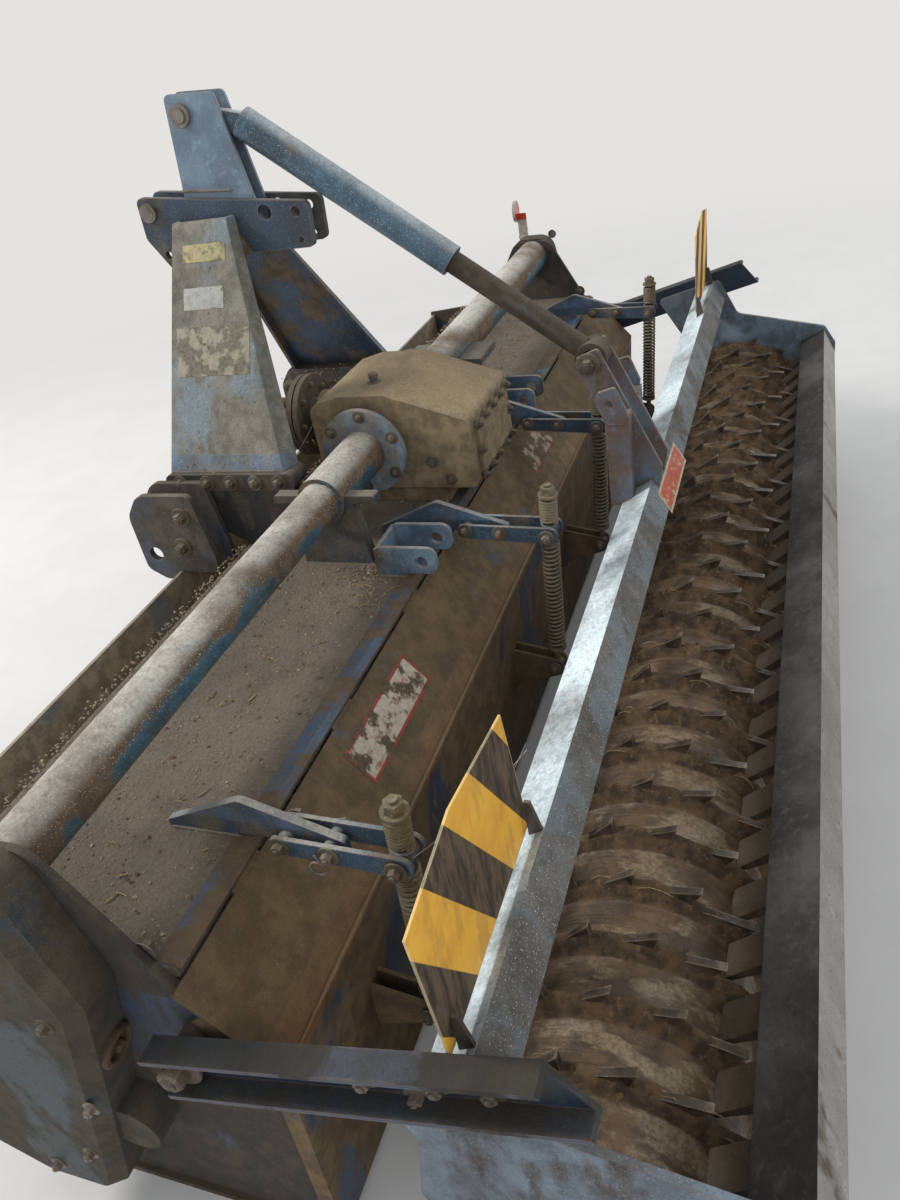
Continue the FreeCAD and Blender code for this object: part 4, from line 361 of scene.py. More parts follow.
def board_paint():
    """Warning board: slanting yellow and black stripes, the black burnt brown by the sun."""
    made = Finish("board_paint", rough=0.5)
    aside = made.calc("MULTIPLY", made.calc("ABSOLUTE", made.axes[0]), STRIPE_SINE)
    slant = made.calc("SUBTRACT", aside, made.calc("MULTIPLY", made.axes[2], STRIPE_COSINE))
    wave = made.calc("PINGPONG", made.calc("SUBTRACT", slant, STRIPE_FROM), STRIPE_WIDE)
    stripe = made.calc("SUBTRACT", 1.0, made.step(wave, STRIPE_WIDE / 2 - 0.0007, STRIPE_WIDE / 2 + 0.0007))
    made.coat(1.0, colour(246, 188, 66), colour(232, 170, 58), 14.0)
    grime = made.calc("MULTIPLY", made.cover(0.4, 30.0, (1.0, 1.0, 0.25)), 0.35)
    made.coat(grime, colour(176, 130, 62))
    black = made.blend(made.step(made.grain(70.0, 6.0, 0.72, (1.0, 1.0, 0.2)), 0.38, 0.62),
                       colour(48, 39, 29), colour(98, 80, 60))
    made.coat(stripe, black)
    scratch = made.cover(0.13, 110.0, (1.4, 1.0, 0.1), shift=0.4)
    made.coat(made.calc("MULTIPLY", scratch, made.calc("ADD", made.calc("MULTIPLY", stripe, 0.5), 0.12)),
              colour(172, 150, 118))
    splash = made.calc("MULTIPLY", made.cover(0.06, 60.0, shift=5.0), 0.8)
    made.coat(splash, colour(92, 74, 54))
    wear = made.step(made.calc("MULTIPLY", made.edge(0.004), made.grain(50.0)), 0.03, 0.1)
    made.coat(wear, colour(214, 202, 160))
    rust = made.calc("MULTIPLY", made.cover(0.2, 24.0, shift=3.0), made.step(made.edge(0.02), 0.02, 0.2))
    made.coat(rust, *RUST)
    made.matt(stripe, 0.8)
    made.bump(made.grain(240.0, 4.0, 0.7), 0.0008)
    return made.done()


# A reflector's middle across and up, and its lens radius, in metres
REFLECTOR = (1.540, 0.982, 0.030)


def reflector_plastic():
    """Orange reflector with a fine prism pattern in a pale rim, on a grey stem."""
    made = Finish("reflector_plastic", rough=0.2)
    made.coat(1.0, colour(206, 66, 30), colour(180, 48, 24), 20.0)
    middle_x, middle_z, lens = REFLECTOR
    across = made.calc("SUBTRACT", made.calc("ABSOLUTE", made.axes[0]), middle_x)
    high = made.calc("SUBTRACT", made.axes[2], middle_z)
    squares = made.calc("ADD", made.calc("MULTIPLY", across, across), made.calc("MULTIPLY", high, high))
    rim = made.step(made.calc("SQRT", squares), lens, lens + 0.001)
    made.coat(rim, colour(176, 172, 164), colour(142, 138, 130), 30.0)
    made.coat(made.calc("MULTIPLY", made.cover(0.35, 26.0), 0.5), colour(140, 116, 92))
    cells = made.add("ShaderNodeTexVoronoi", {"Vector": made.spot, "Scale": 320.0}, feature="F1")
    made.bump(made.calc("MULTIPLY", cells.outputs["Distance"], made.calc("SUBTRACT", 1.0, rim)), 0.0012)
    made.shader.inputs["Coat Weight"].default_value = 0.4
    made.shader.inputs["Coat Roughness"].default_value = 0.15
    return made.done()


def packed_soil():
    """Earth on the roller: smooth and shiny where the blades scrape it, with pale painted sheen there, fibrous
    beside the teeth.
    """
    made = Finish("packed_soil", rough=0.92)
    made.coat(1.0, colour(98, 78, 54), colour(58, 46, 33), 34.0)
    made.coat(made.calc("MULTIPLY", made.cover(0.3, 90.0, (0.3, 1.0, 1.0)), 0.6), colour(128, 104, 72))
    made.coat(made.calc("MULTIPLY", made.cover(0.3, 12.0, shift=0.6), 0.6), colour(62, 52, 41))
    across = made.calc("POWER", made.calc("SUBTRACT", made.axes[1], 0.470), 2.0)
    high = made.calc("POWER", made.calc("SUBTRACT", made.axes[2], 0.245), 2.0)
    reach = made.calc("SQRT", made.calc("ADD", across, high))
    track = made.step(made.calc("ADD", reach, made.calc("MULTIPLY", made.grain(45.0), 0.004)), 0.1985, 0.1955)
    made.coat(track, colour(102, 82, 58), colour(68, 54, 39), 20.0)
    scraped = made.grain(150.0, 5.0, 0.6, (1.0, 0.05, 0.05), shift=2.2)
    lines = made.calc("MULTIPLY", track, made.step(scraped, 0.5, 0.7))
    made.coat(made.calc("MULTIPLY", lines, 0.5), colour(58, 46, 34))
    # Shiny patches in the tracks: smoother, and a pale tone that paints their sheen
    gloss_and_painted_sheen = made.calc("MULTIPLY", track, made.cover(0.42, 12.0, (1.6, 0.7, 0.7), shift=1.4))
    made.coat(made.calc("MULTIPLY", gloss_and_painted_sheen, 0.7), colour(150, 133, 106), colour(112, 96, 74), 120.0)
    pits = made.step(made.grain(230.0, 3.0, 0.6), 0.6, 0.68)
    made.coat(made.calc("MULTIPLY", pits, made.calc("MULTIPLY", track, 0.6)), colour(48, 40, 31))
    made.matt(track, 0.5)
    made.matt(gloss_and_painted_sheen, 0.24)
    bank = made.calc("SUBTRACT", 1.0, track)
    made.bump(made.calc("MULTIPLY", made.grain(75.0, 6.0, 0.72), made.calc("ADD", bank, 0.15)), 0.006)
    made.bump(made.calc("MULTIPLY", scraped, track), 0.0035)
    made.bump(made.grain(260.0, 4.0, 0.7), 0.0012)
    return made.done()


def loose(name, light, dark, relief=0.0016, scale=130.0):
    """Soil, straw or cobweb."""
    made = Finish(name, rough=0.95)
    made.coat(1.0, colour(*light), colour(*dark), scale)
    made.coat(made.calc("MULTIPLY", made.cover(0.3, 40.0), 0.5), colour(*shaded(light, 0.82)))
    made.bump(made.grain(scale * 2, 5.0, 0.7), relief)
    return made.done()


def blank_plate(name, face, worn_face, border=None, worn=0.3, size=None):
    """A blank label that has faded and scuffed, with a painted border if it has one."""
    made = Finish(name, rough=0.6)
    made.coat(1.0, colour(*face), colour(*shaded(face, 0.88)), 60.0)
    if border:
        half_x, half_y = (value * MM / 2 - 0.006 for value in size)
        inside_x = made.step(made.calc("ABSOLUTE", made.axes[0]), half_x, half_x - 0.001)
        inside_y = made.step(made.calc("ABSOLUTE", made.axes[1]), half_y, half_y - 0.001)
        frame_mask = made.calc("SUBTRACT", 1.0, made.calc("MULTIPLY", inside_x, inside_y))
        blotch = made.cover(0.32, 52.0, (1.0, 1.6, 1.0), shift=1.0)
        made.coat(made.calc("MAXIMUM", frame_mask, made.calc("MULTIPLY", blotch, 0.75)),
                  colour(*border), colour(*shaded(border, 0.8)), 80.0)
    scuffed = made.cover(worn, 26.0, shift=2.0)
    made.coat(scuffed, colour(*worn_face), colour(*shaded(worn_face, 0.8)), 90.0)
    specks = made.cover(0.2, 150.0, shift=0.3)
    made.coat(made.calc("MULTIPLY", specks, 0.6), colour(*shaded(worn_face, 0.9)))
    made.matt(scuffed, 0.9)
    made.bump(made.grain(180.0, 5.0, 0.7), 0.0012)
    return made.done()


finishes["teeth"] = tooth_steel()
finishes["tines"] = tine_steel()
finishes["boards"] = board_paint()
finishes["reflector"] = reflector_plastic()
finishes["soil"] = loose("dry_soil", (116, 98, 76), (82, 67, 50))
finishes["packed"] = packed_soil()
finishes["crumbs"] = loose("soil_crumbs", (158, 146, 124), (112, 98, 78))
finishes["straw"] = loose("straw", (158, 142, 104), (116, 98, 68), 0.0008)
finishes["web"] = loose("cobweb", (170, 168, 160), (140, 136, 126), 0.0002)

# CAD node, finish
NODE_FINISHES = (
    ("hood_shell", "hood"),
    ("front_beam", "trough"),
    ("side_plate_R", "side"),
    ("side_plate_L", "side"),
    ("skids", "blade"),
    ("side_case_R", "case"),
    ("side_case_L", "case"),
    ("arm_pivots", "dark"),
    ("gearbox", "gearbox"),
    ("axle_tube_R", "tube"),
    ("axle_tube_L", "tube"),
    ("tube_saddles", "bracket"),
    ("mast_leg_R", "leg"),
    ("mast_leg_L", "far_leg"),
    ("top_link_plates", "mast"),
    ("mast_head", "head"),
    ("mast_pins", "pin"),
    ("mast_feet", "foot"),
    ("lower_link_brackets", "bracket"),
    ("spring_ribs", "rib"),
    ("bracket_boxes", "box"),
    ("rotor_shaft", "dark"),
    ("tines", "tines"),
    ("input_shaft", "pin"),
    ("slip_clutch", "dark"),
    ("tailgate", "gate"),
    ("tail_rods", "spring"),
    ("rod_swivels", "sidebar"),
    ("roller_arms", "arm"),
    ("roller_beam", "beam"),
    ("scraper_bar", "scraper"),
    ("roller_end_plate_R", "wing"),
    ("roller_end_plate_L", "wing"),
    ("scraper_blades", "blade"),
    ("stay_tower", "tower"),
    ("stay_tube", "stay"),
    ("stay_rod", "rod"),
    ("warning_boards", "boards"),
    ("board_straps", "strap"),
    ("roller_drum", "drum"),
    ("tooth_rings", "teeth"),
    ("reflectors", "reflector"),
)
for node, finish in NODE_FINISHES:
    nodes[node].data.materials.clear()
    nodes[node].data.materials.append(finishes[finish])
for node in set(nodes) - {row[0] for row in NODE_FINISHES}:
    nodes[node].data.materials.clear()
    nodes[node].data.materials.append(finishes["dark"])


# Shapes. Each adds faces to a mesh that is being built, in millimetres.

def lathe(mesh, at, axis, profile, sides=16, turn=0.0):
    """Turns a profile of radius and height about an axis."""
    axis = Vector(axis).normalized()
    across = axis.orthogonal().normalized()
    aside = axis.cross(across)
    rings = []
    for radius, height in profile:
        centre = Vector(at) + axis * height
        ring = []
        for k in range(sides if radius else 1):
            angle = turn + 2 * math.pi * k / sides
            arm = across * math.cos(angle) + aside * math.sin(angle)
            ring.append(mesh.verts.new((centre + arm * radius) * MM))
        rings.append(ring)
    for low, high in zip(rings, rings[1:]):
        for k in range(sides):
            n = k + 1
            corners = (low[k % len(low)], low[n % len(low)], high[n % len(high)], high[k % len(high)])
            corners = list(dict.fromkeys(corners))
            if len(corners) > 2:
                mesh.faces.new(corners)


def bolt(mesh, at, axis, across, washer=True, stub=0.0):
    """A washer and a hexagon head, with the thread's end beyond it if it is a nut."""
    rise = 0.0
    if washer:
        rise = across * 0.14
        profile = ((across, -0.5), (across, rise * 0.7), (across * 0.95, rise), (0, rise))
        lathe(mesh, at, axis, profile, 20)
    half = across / 2 / math.cos(math.pi / 6)
    head = across * 0.62
    turn = dice.uniform(0, 1)
    head_top = rise + head
    profile = ((half, rise), (half, rise + head * 0.86), (half * 0.86, head_top), (0, head_top))
    lathe(mesh, at, axis, profile, 6, turn)
    if stub:
        top = head_top + stub
        thread = across * 0.3
        lathe(mesh, at, axis, ((thread, head_top), (thread, top - 1), (thread * 0.86, top), (0, top)), 12)


def sweep(mesh, points, radius, sides=8):
    """A round bar along points, its radius one value or one for each point."""
    points = [Vector(p) for p in points]
    radii = radius if hasattr(radius, "__len__") else [radius] * len(points)
    normal = (points[1] - points[0]).orthogonal().normalized()
    rings = []
    for i, point in enumerate(points):
        along = (points[min(i + 1, len(points) - 1)] - points[max(i - 1, 0)]).normalized()
        normal = (normal - along * normal.dot(along)).normalized()
        aside = along.cross(normal)
        ring = []
        for k in range(sides):
            angle = 2 * math.pi * k / sides
            arm = normal * math.cos(angle) + aside * math.sin(angle)
            ring.append(mesh.verts.new((point + arm * radii[i]) * MM))
        rings.append(ring)
    for low, high in zip(rings, rings[1:]):
        for k in range(sides):
            mesh.faces.new((low[k], low[(k + 1) % sides], high[(k + 1) % sides], high[k]))
    mesh.faces.new(rings[0])
    mesh.faces.new(rings[-1])


def coil(mesh, at, axis, length, radius, wire, turns, per_turn=18):
    """A compression spring with closed ends, wire and coil as radii."""
    axis = Vector(axis).normalized()
    across = axis.orthogonal().normalized()
    aside = axis.cross(across)
    points = []
    whole = turns + 2
    count = int(whole * per_turn)
    for i in range(count + 1):
        t = whole * i / count
        if t < 1:
            rise = wire + t * 2 * wire * 0.9
        elif t > turns + 1:
            rise = length - wire - (whole - t) * 2 * wire * 0.9
        else:
            low = wire * 2.8
            rise = low + (length - 2 * low) * (t - 1) / turns
        angle = 2 * math.pi * t
        arm = across * math.cos(angle) + aside * math.sin(angle)
        points.append(Vector(at) + axis * rise + arm * radius)
    sweep(mesh, points, wire, 7)


def bead(mesh, start, end, radius=4.0):
    """A weld bead: a line of overlapping ripples."""
    start, end = Vector(start), Vector(end)
    length = (end - start).length
    count = max(6, int(length / 2.5))
    points, radii = [], []
    for i in range(count + 1):
        t = i / count
        wander = noise.noise_vector(start + (end - start) * t * 0.05) * 0.6
        points.append(start.lerp(end, t) + wander)
        ripple = 0.84 + 0.16 * abs(math.sin(math.pi * t * length / 5.0))
        taper = min(1.0, 0.3 + 12 * t, 0.3 + 12 * (1 - t))
        radii.append(radius * ripple * taper)
    sweep(mesh, points, radii, 7)


def pebble(mesh, at, size):
    """A crumb of soil with six uneven corners."""
    corners = ((1, 0, 0), (-1, 0, 0), (0, 1, 0), (0, -1, 0), (0, 0, 0.8), (0, 0, -0.4))
    heading = Matrix.Rotation(dice.uniform(0, math.pi), 3, "Z")
    turn = heading @ Matrix.Rotation(dice.uniform(-0.5, 0.5), 3, "X")
    tips = []
    for corner in corners:
        reach = turn @ Vector(corner) * size * dice.uniform(0.55, 1.1)
        tips.append(mesh.verts.new((Vector(at) + reach) * MM))
    for a, b in ((0, 2), (2, 1), (1, 3), (3, 0)):
        mesh.faces.new((tips[a], tips[b], tips[4]))
        mesh.faces.new((tips[b], tips[a], tips[5]))


def stalk(mesh, at, length, heading, rise=0.0, radius=1.0):
    """A bent bit of straw lying on what is below it."""
    run = Vector((math.cos(heading), math.sin(heading), 0))
    bend = Vector((-run.y, run.x, 0)) * dice.uniform(-0.2, 0.2) * length
    points = []
    for i in range(5):
        t = i / 4
        lift = rise * math.sin(math.pi * t)
        aside = bend * math.sin(math.pi * t) + Vector((0, 0, lift))
        points.append(Vector(at) + run * length * (t - 0.5) + aside)
    sweep(mesh, points, [radius, radius, radius * 0.9, radius * 0.8, radius * 0.5], 4)


def piece(name, mesh, body, finish, angle=35):
    """Turns a finished mesh into a piece that rides on a body."""
    bmesh.ops.recalc_face_normals(mesh, faces=mesh.faces)
    data = bpy.data.meshes.new(name)
    mesh.to_mesh(data)
    mesh.free()
    data.shade_smooth()
    data.set_sharp_from_angle(angle=math.radians(angle))
    data.materials.append(finishes[finish])
    made = bpy.data.objects.new(name, data)
    scene.collection.objects.link(made)
    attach(made, body)
    return made


# Springs on the tailgate rods

STATIONS = (1205, 285, -285, -1205)
LUG = Vector((0, 165, 318))
SWIVEL = Vector((0, 185, 685))
ROD = (SWIVEL - LUG).normalized()
ROD_TOP = 482
SPRING_SEAT = 54.5

mesh = bmesh.new()
for x in STATIONS:
    foot = LUG + Vector((x, 0, 0))
    coil(mesh, foot + ROD * SPRING_SEAT, ROD, 291, 18, 3.6, 24)
springs = piece("tailgate_springs", mesh, "gate_rods", "spring")
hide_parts("tail_springs")
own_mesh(springs)

mesh = bmesh.new()
for x in STATIONS:
    coil(mesh, LUG + Vector((x, 0, 0)) + ROD * 388.6, ROD, 64, 17, 3.8, 6.5)
piece("upper_springs", mesh, "gate_swivels", "spring")

mesh = bmesh.new()
for x in STATIONS:
    foot = LUG + Vector((x, 0, 0))
    for at in (455.5, 467.0):
        nut = ((15.2, 0), (16.2, 1.2), (16.2, 9.4), (15.2, 10.6), (8, 10.6))
        lathe(mesh, foot + ROD * at, ROD, nut, 6, 0.3 * at)
    threads = []
    for k in range(9):
        threads += [(8.3, 474 + k * 1.1), (7.5, 474.5 + k * 1.1)]
    lathe(mesh, foot, ROD, [(8.3, 470)] + threads + [(6.4, ROD_TOP + 0.8), (0, ROD_TOP + 0.8)], 20)
piece("rod_nuts", mesh, "gate_rods", "spring")

mesh = bmesh.new()
for x in STATIONS:
    foot = LUG + Vector((x, 0, 0))
    collar = ((14.6, -6), (16.4, -4), (16.4, 8.4), (19.6, 8.6), (19.6, 11), (14.6, 11.2))
    lathe(mesh, foot + ROD * 377, ROD, collar, 24)
piece("rod_collars", mesh, "gate_swivels", "collar")


# Bolts. name, body, finish, size, axis, whether on both sides, places
BOLTS = (
    ("flange_bolts", "frame", "bolt", 15, (1, 0, 0), True,
     [(200, -268 + 89 * math.cos(math.radians(a)), 840 + 89 * math.sin(math.radians(a)))
      for a in (24, 84, 144, 204, 264, 324)]),
    ("cover_bolts", "frame", "bolt", 13, (0, 1, 0), False,
     [(x, -2.9, z) for x in (-118, -60, 0, 60, 118) for z in (740, 868)]
     + [(x, -2.9, 804) for x in (-118, 118)]),
    ("foot_bolts", "frame", "bolt", 19, (1, 0, 0), True,
     [(364.7, y, 847) for y in (-672, -600, -535, -470, -408)]),
    ("link_bolts", "frame", "bolt", 24, (1, 0, 0), True, [(445, -640, 800), (445, -665, 720)]),
    ("side_bar_bolts_near", "frame", "bolt", 17, (1, 0, 0), False,
     [(x + 28, y, z) for x in STATIONS for y, z in ((-2, 698), (78, 693))]),
    ("side_bar_bolts_far", "frame", "bolt", 17, (-1, 0, 0), False,
     [(x - 28, y, z) for x in STATIONS for y, z in ((-2, 698), (78, 693))]),
    ("side_plate_bolts", "frame", "bolt", 19, (-1, 0, 0), False,
     [(1440, y, z) for y, z in ((-104, 700), (-420, 712), (-240, 860))]),
    ("side_plate_bolts_far", "frame", "bolt", 19, (1, 0, 0), False,
     [(-1440, y, z) for y, z in ((-104, 700), (-420, 712), (-240, 860))]),
    ("case_bolts", "frame", "bolt", 15, (1, 0, 0), True,
     [(1537, y, z) for y, z in ((-225, 640), (-395, 640), (-560, 545), (-598, 410), (-540, 250),
                                (-440, 160), (-330, 250), (-250, 420), (-212, 890), (-324, 890))]),
    ("pivot_nuts", "roller_frame", "bolt", 36, (1, 0, 0), True, [(1506.5, -60, 555)]),
    ("arm_bolts", "roller_frame", "bolt", 20, (1, 0, 0), True,
     [(1495, y, z) for y, z in ((230, 625), (330, 652), (300, 612), (400, 668))]),
    ("hub_bolts", "roller_frame", "bolt", 15, (1, 0, 0), True,
     [(1512, 470 + 44 * math.cos(a), 245 + 44 * math.sin(a))
      for a in (math.radians(45 + 90 * k) for k in range(4))]),
    ("tower_bolts", "roller_frame", "bolt", 26, (1, 0, 0), True, [(60, 250, 975)]),
    ("lug_nuts", "tailgate_flap", "bolt", 16, (1, 0, 0), False,
     [(x + 26, 165, 318) for x in STATIONS]),
    ("swivel_nuts", "gate_swivels", "bolt", 18, (1, 0, 0), False,
     [(x + 32, 185, 685) for x in STATIONS]),
)
for name, body, finish, size, axis, mirrored, places in BOLTS:
    mesh = bmesh.new()
    for x, y, z in places:
        bolt(mesh, (x, y, z), axis, size, stub=3.0)
        if mirrored:
            bolt(mesh, (-x, y, z), (-axis[0], axis[1], axis[2]), size, stub=3.0)
    piece(name, mesh, body, finish)

mesh = bmesh.new()
for side in (-1, 1):
    lathe(mesh, (side * 1440, -60, 555), (side, 0, 0), ((30, -1), (30, 2), (22, 5), (0, 5)), 24)
piece("pivot_caps", mesh, "frame", "dark")

# Round boss with a bolt in its hollow, on the rear of each side case
mesh = bmesh.new()
BOSS_OUT = Vector((0, 0.958, -0.286))
for side in (-1, 1):
    middle = Vector((side * 1478, -209.6, 508))
    lathe(mesh, middle, BOSS_OUT, ((35, -2), (35, 7), (32, 9.5), (25, 9.5), (22.5, 7), (21, 1.5), (0, 1.5)), 36)
    bolt(mesh, middle + BOSS_OUT * 1.5, BOSS_OUT, 19, washer=False)
piece("case_bosses", mesh, "frame", "boss")

# Slip clutch: coil springs with their bolts
mesh = bmesh.new()
for k in range(8):
    angle = 2 * math.pi * k / 8
    x, z = 80 * math.cos(angle), 855 + 80 * math.sin(angle)
    coil(mesh, (x, -513, z), (0, -1, 0), 33, 12.4, 2.3, 4.5, 14)
    bolt(mesh, (x, -546.5, z), (0, -1, 0), 13, washer=False, stub=0)
    bolt(mesh, (x, -481, z), (0, 1, 0), 13, washer=False, stub=2)
piece("clutch_springs", mesh, "input_drive", "spring")

# Splines on the input shaft's end
mesh = bmesh.new()
for k in range(6):
    angle = 2 * math.pi * k / 6
    radial = Vector((math.cos(angle), 0, math.sin(angle)))
    aside = Vector((-math.sin(angle), 0, math.cos(angle)))
    base = Vector((0, -638, 855))
    corners = [base + radial * 16 + aside * 3.6, base + radial * 19.6 + aside * 3.2,
               base + radial * 19.6 - aside * 3.2, base + radial * 16 - aside * 3.6]
    low = [mesh.verts.new(c * MM) for c in corners]
    high = [mesh.verts.new((c + Vector((0, 66, 0))) * MM) for c in corners]
    mesh.faces.new(low)
    mesh.faces.new(high)
    for i in range(4):
        j = (i + 1) % 4
        mesh.faces.new((low[i], low[j], high[j], high[i]))
piece("input_splines", mesh, "input_drive", "pin")

# Oil plugs and breather on the gearbox
mesh = bmesh.new()
BREATHER = ((17, 0), (17, 3), (9, 3), (9, 12), (12, 12), (12, 22), (9, 25), (0, 25))
PLUG = ((15, -2), (15, 3), (9, 3), (9, 10), (0, 10))
lathe(mesh, (60, -270, 957), (0, 0, 1), BREATHER, 12)
lathe(mesh, (151, -120, 790), (1, 0, 0), PLUG, 6)
lathe(mesh, (151, -80, 745), (1, 0, 0), PLUG, 6)
piece("gearbox_plugs", mesh, "frame", "bolt")

# Welds. name, body, start, end, radius, both sides
WELDS = (
    ("leg_top", "frame", (66, -688, 1350), (66, -547, 1350), 5.0, True),
    ("leg_top_front", "frame", (44, -691, 1352), (66, -691, 1352), 4.0, True),
    ("head_foot", "frame", (42.5, -660, 1424), (42.5, -520, 1413), 4.0, False),
    ("leg_foot", "frame", (351, -700, 868), (351, -402, 868), 4.5, True),
    ("rib_in", "frame", (1212.5, -214, 681), (1212.5, -84, 681), 3.5, True),
    ("rib_out", "frame", (1197.5, -214, 681), (1197.5, -84, 681), 3.5, True),
    ("inner_rib_in", "frame", (292.5, -214, 681), (292.5, -84, 681), 3.5, True),
    ("inner_rib_out", "frame", (277.5, -214, 681), (277.5, -84, 681), 3.5, True),
    ("box_in", "frame", (430, -148, 681), (430, -84, 681), 3.5, True),
    ("box_out", "frame", (480.5, -148, 681), (480.5, -84, 681), 3.5, True),
    ("tower_foot", "roller_frame", (98, 318, 654), (98, 337, 666), 4.0, True),
    ("tower_strip", "roller_frame", (49, 341, 672), (49, 372, 690), 3.5, True),
    ("beam_end", "roller_frame", (1474, 312, 650), (1474, 374, 688), 3.5, True),
    ("beam_end_rear", "roller_frame", (1474, 376, 688), (1474, 411, 628), 3.5, True),
    ("tube_sleeve", "frame", (440.5, -214, 840), (440.5, -268, 894), 2.0, False),
)
beads = {}
for name, body, start, end, radius, mirrored in WELDS:
    mesh = beads.setdefault(body, bmesh.new())
    bead(mesh, start, end, radius)
    if mirrored:
        bead(mesh, (-start[0], *start[1:]), (-end[0], *end[1:]), radius)
for body, mesh in beads.items():
    piece("welds_" + body, mesh, body, "weld")


# Rusty ridge along the tailgate's fold
GATE_FOLD = (71.5, 511.5)
GATE_END = 1462
mesh = bmesh.new()
bead(mesh, (-GATE_END, *GATE_FOLD), (GATE_END, *GATE_FOLD), 5.5)
piece("gate_ridge", mesh, "tailgate_flap", "ridge")


# Blank plates

def plate_piece(name, body, middle, along, out, size, thick, face, worn_face, border=None, worn=0.3):
    """A blank plate that faces out, with its own axes, so that its border follows its edges."""
    finishes[name] = blank_plate(name, face, worn_face, border, worn, size)
    out = Vector(out).normalized()
    along = Vector(along)
    along = (along - out * along.dot(out)).normalized()
    across = out.cross(along)
    mesh = bmesh.new()
    cells_x, cells_y = 12, 6
    grid = []
    for j in range(cells_y + 1):
        row = []
        for i in range(cells_x + 1):
            u = (i / cells_x - 0.5) * size[0]
            v = (j / cells_y - 0.5) * size[1]
            ragged = noise.noise((u * 0.05, v * 0.05, len(name))) * 0.8
            if 0 < i < cells_x and 0 < j < cells_y:
                spot = (u, v, thick + ragged * 0.3)
            else:
                spot = (u + ragged, v + ragged, thick * 0.3)
            row.append(mesh.verts.new(spot))
        grid.append(row)
    for j in range(cells_y):
        for i in range(cells_x):
            mesh.faces.new((grid[j][i], grid[j][i + 1], grid[j + 1][i + 1], grid[j + 1][i]))
    bmesh.ops.scale(mesh, vec=(MM, MM, MM), verts=mesh.verts)
    data = bpy.data.meshes.new(name)
    mesh.to_mesh(data)
    mesh.free()
    data.shade_smooth()
    data.materials.append(finishes[name])
    made = bpy.data.objects.new(name, data)
    turn = Matrix((along, across, out)).transposed().to_4x4()
    made.matrix_world = Matrix.Translation(Vector(middle) * MM) @ turn
    scene.collection.objects.link(made)
    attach(made, body)


LEG_UP = Vector((-284, 0, 494)).normalized()
LEG_OUT = Vector((0.867, 0, 0.498))
LEG_FOOT = Vector((350, 0, 868))
REARWARD = (0, 1, 0)
SIDEWAYS = (1, 0, 0)
GATE_OUT = (0, 0.759, 0.651)
BEAM_REAR = (0, 0.86, 0.51)


def on_leg(y, along):
    """A point on the outer face of the near mast leg."""
    return LEG_FOOT + Vector((0, y, 0)) + LEG_UP * along + LEG_OUT * 0.4


# name, body, middle, along, out, size, thickness, face, worn face, border, how worn
PLATES = (
    ("label_yellow", "frame", on_leg(-604, 498), REARWARD, LEG_OUT, (114, 40), 0.8,
     (164, 154, 106), (128, 124, 102), None, 0.42),
    ("label_pale", "frame", on_leg(-606, 396), REARWARD, LEG_OUT, (108, 50), 1.0,
     (160, 160, 154), (124, 120, 110), None, 0.3),
    ("label_dusty", "frame", on_leg(-582, 276), REARWARD, LEG_OUT, (196, 112), 0.8,
     (146, 140, 118), (118, 114, 100), None, 0.5),
    ("patch_gate", "tailgate_flap", (827, -5, 600.5), SIDEWAYS, GATE_OUT, (292, 78), 0.8,
     (186, 174, 154), (96, 80, 62), (150, 56, 44), 0.42),
    ("patch_gate_far", "tailgate_flap", (-360, -5, 600.5), SIDEWAYS, GATE_OUT, (292, 78), 0.8,
     (160, 142, 118), (100, 84, 64), (140, 66, 50), 0.55),
    ("patch_beam", "roller_frame", (-60, 405, 640), SIDEWAYS, BEAM_REAR, (276, 60), 0.8,
     (188, 88, 58), (206, 184, 156), (204, 186, 160), 0.3),
)
for row in PLATES:
    plate_piece(*row)


# Folded cover strip over the tailgate hinge
COVER_FOLD = ((-97, 680.2), (-83, 682.6), (-67, 682.6), (-55, 674.5))
COVER_HALF = 1437.5
COVER_T = 1.8
mesh = bmesh.new()
cells = 240
rows = []
for k in range(cells + 1):
    x = COVER_HALF * (2 * k / cells - 1)
    dent = noise.noise((x * 0.006, 0.0, 4.0)) * 0.5
    top = [(x, y, z + dent) for y, z in COVER_FOLD]
    under = [(x, y - 0.4, z - COVER_T + dent) for y, z in reversed(COVER_FOLD)]
    rows.append([mesh.verts.new(Vector(p) * MM) for p in top + under])
for low, high in zip(rows, rows[1:]):
    for k in range(len(low)):
        n = (k + 1) % len(low)
        mesh.faces.new((low[k], low[n], high[n], high[k]))
for end in (rows[0], rows[-1]):
    mesh.faces.new(end)
piece("hinge_cover", mesh, "frame", "cover", 20)


# Soil in the front trough and on the hood

def heap(mesh, low, high, base, height, cells, seed, fade=3.0):
    """A bed of soil over a rectangle, thinning out to its edges."""
    count_x, count_y = cells
    grid = []
    for j in range(count_y + 1):
        row = []
        v = j / count_y
        for i in range(count_x + 1):
            u = i / count_x
            x = low[0] + (high[0] - low[0]) * u
            y = low[1] + (high[1] - low[1]) * v
            rough = noise.fractal(Vector((x * 0.012, y * 0.03, seed)), 0.9, 2.2, 5)
            swell = 0.5 + 0.5 * noise.noise(Vector((x * 0.004, y * 0.01, seed + 9)))
            rim = min(1.0, fade * v, fade * (1 - v), 30 * u, 30 * (1 - u))
            z = base + height * max(0.0, rim * (0.35 + swell * 0.7) + rough * 0.24 * rim) - (0 if rim else 2)
            row.append(mesh.verts.new((x * MM, y * MM, z * MM)))
        grid.append(row)
    for j in range(count_y):
        for i in range(count_x):
            mesh.faces.new((grid[j][i], grid[j][i + 1], grid[j + 1][i + 1], grid[j + 1][i]))


mesh = bmesh.new()
heap(mesh, (-1428, -692), (1428, -582), 533.5, 34, (520, 26), 3.0, 2.2)
piece("trough_soil", mesh, "frame", "crumbs", 60)

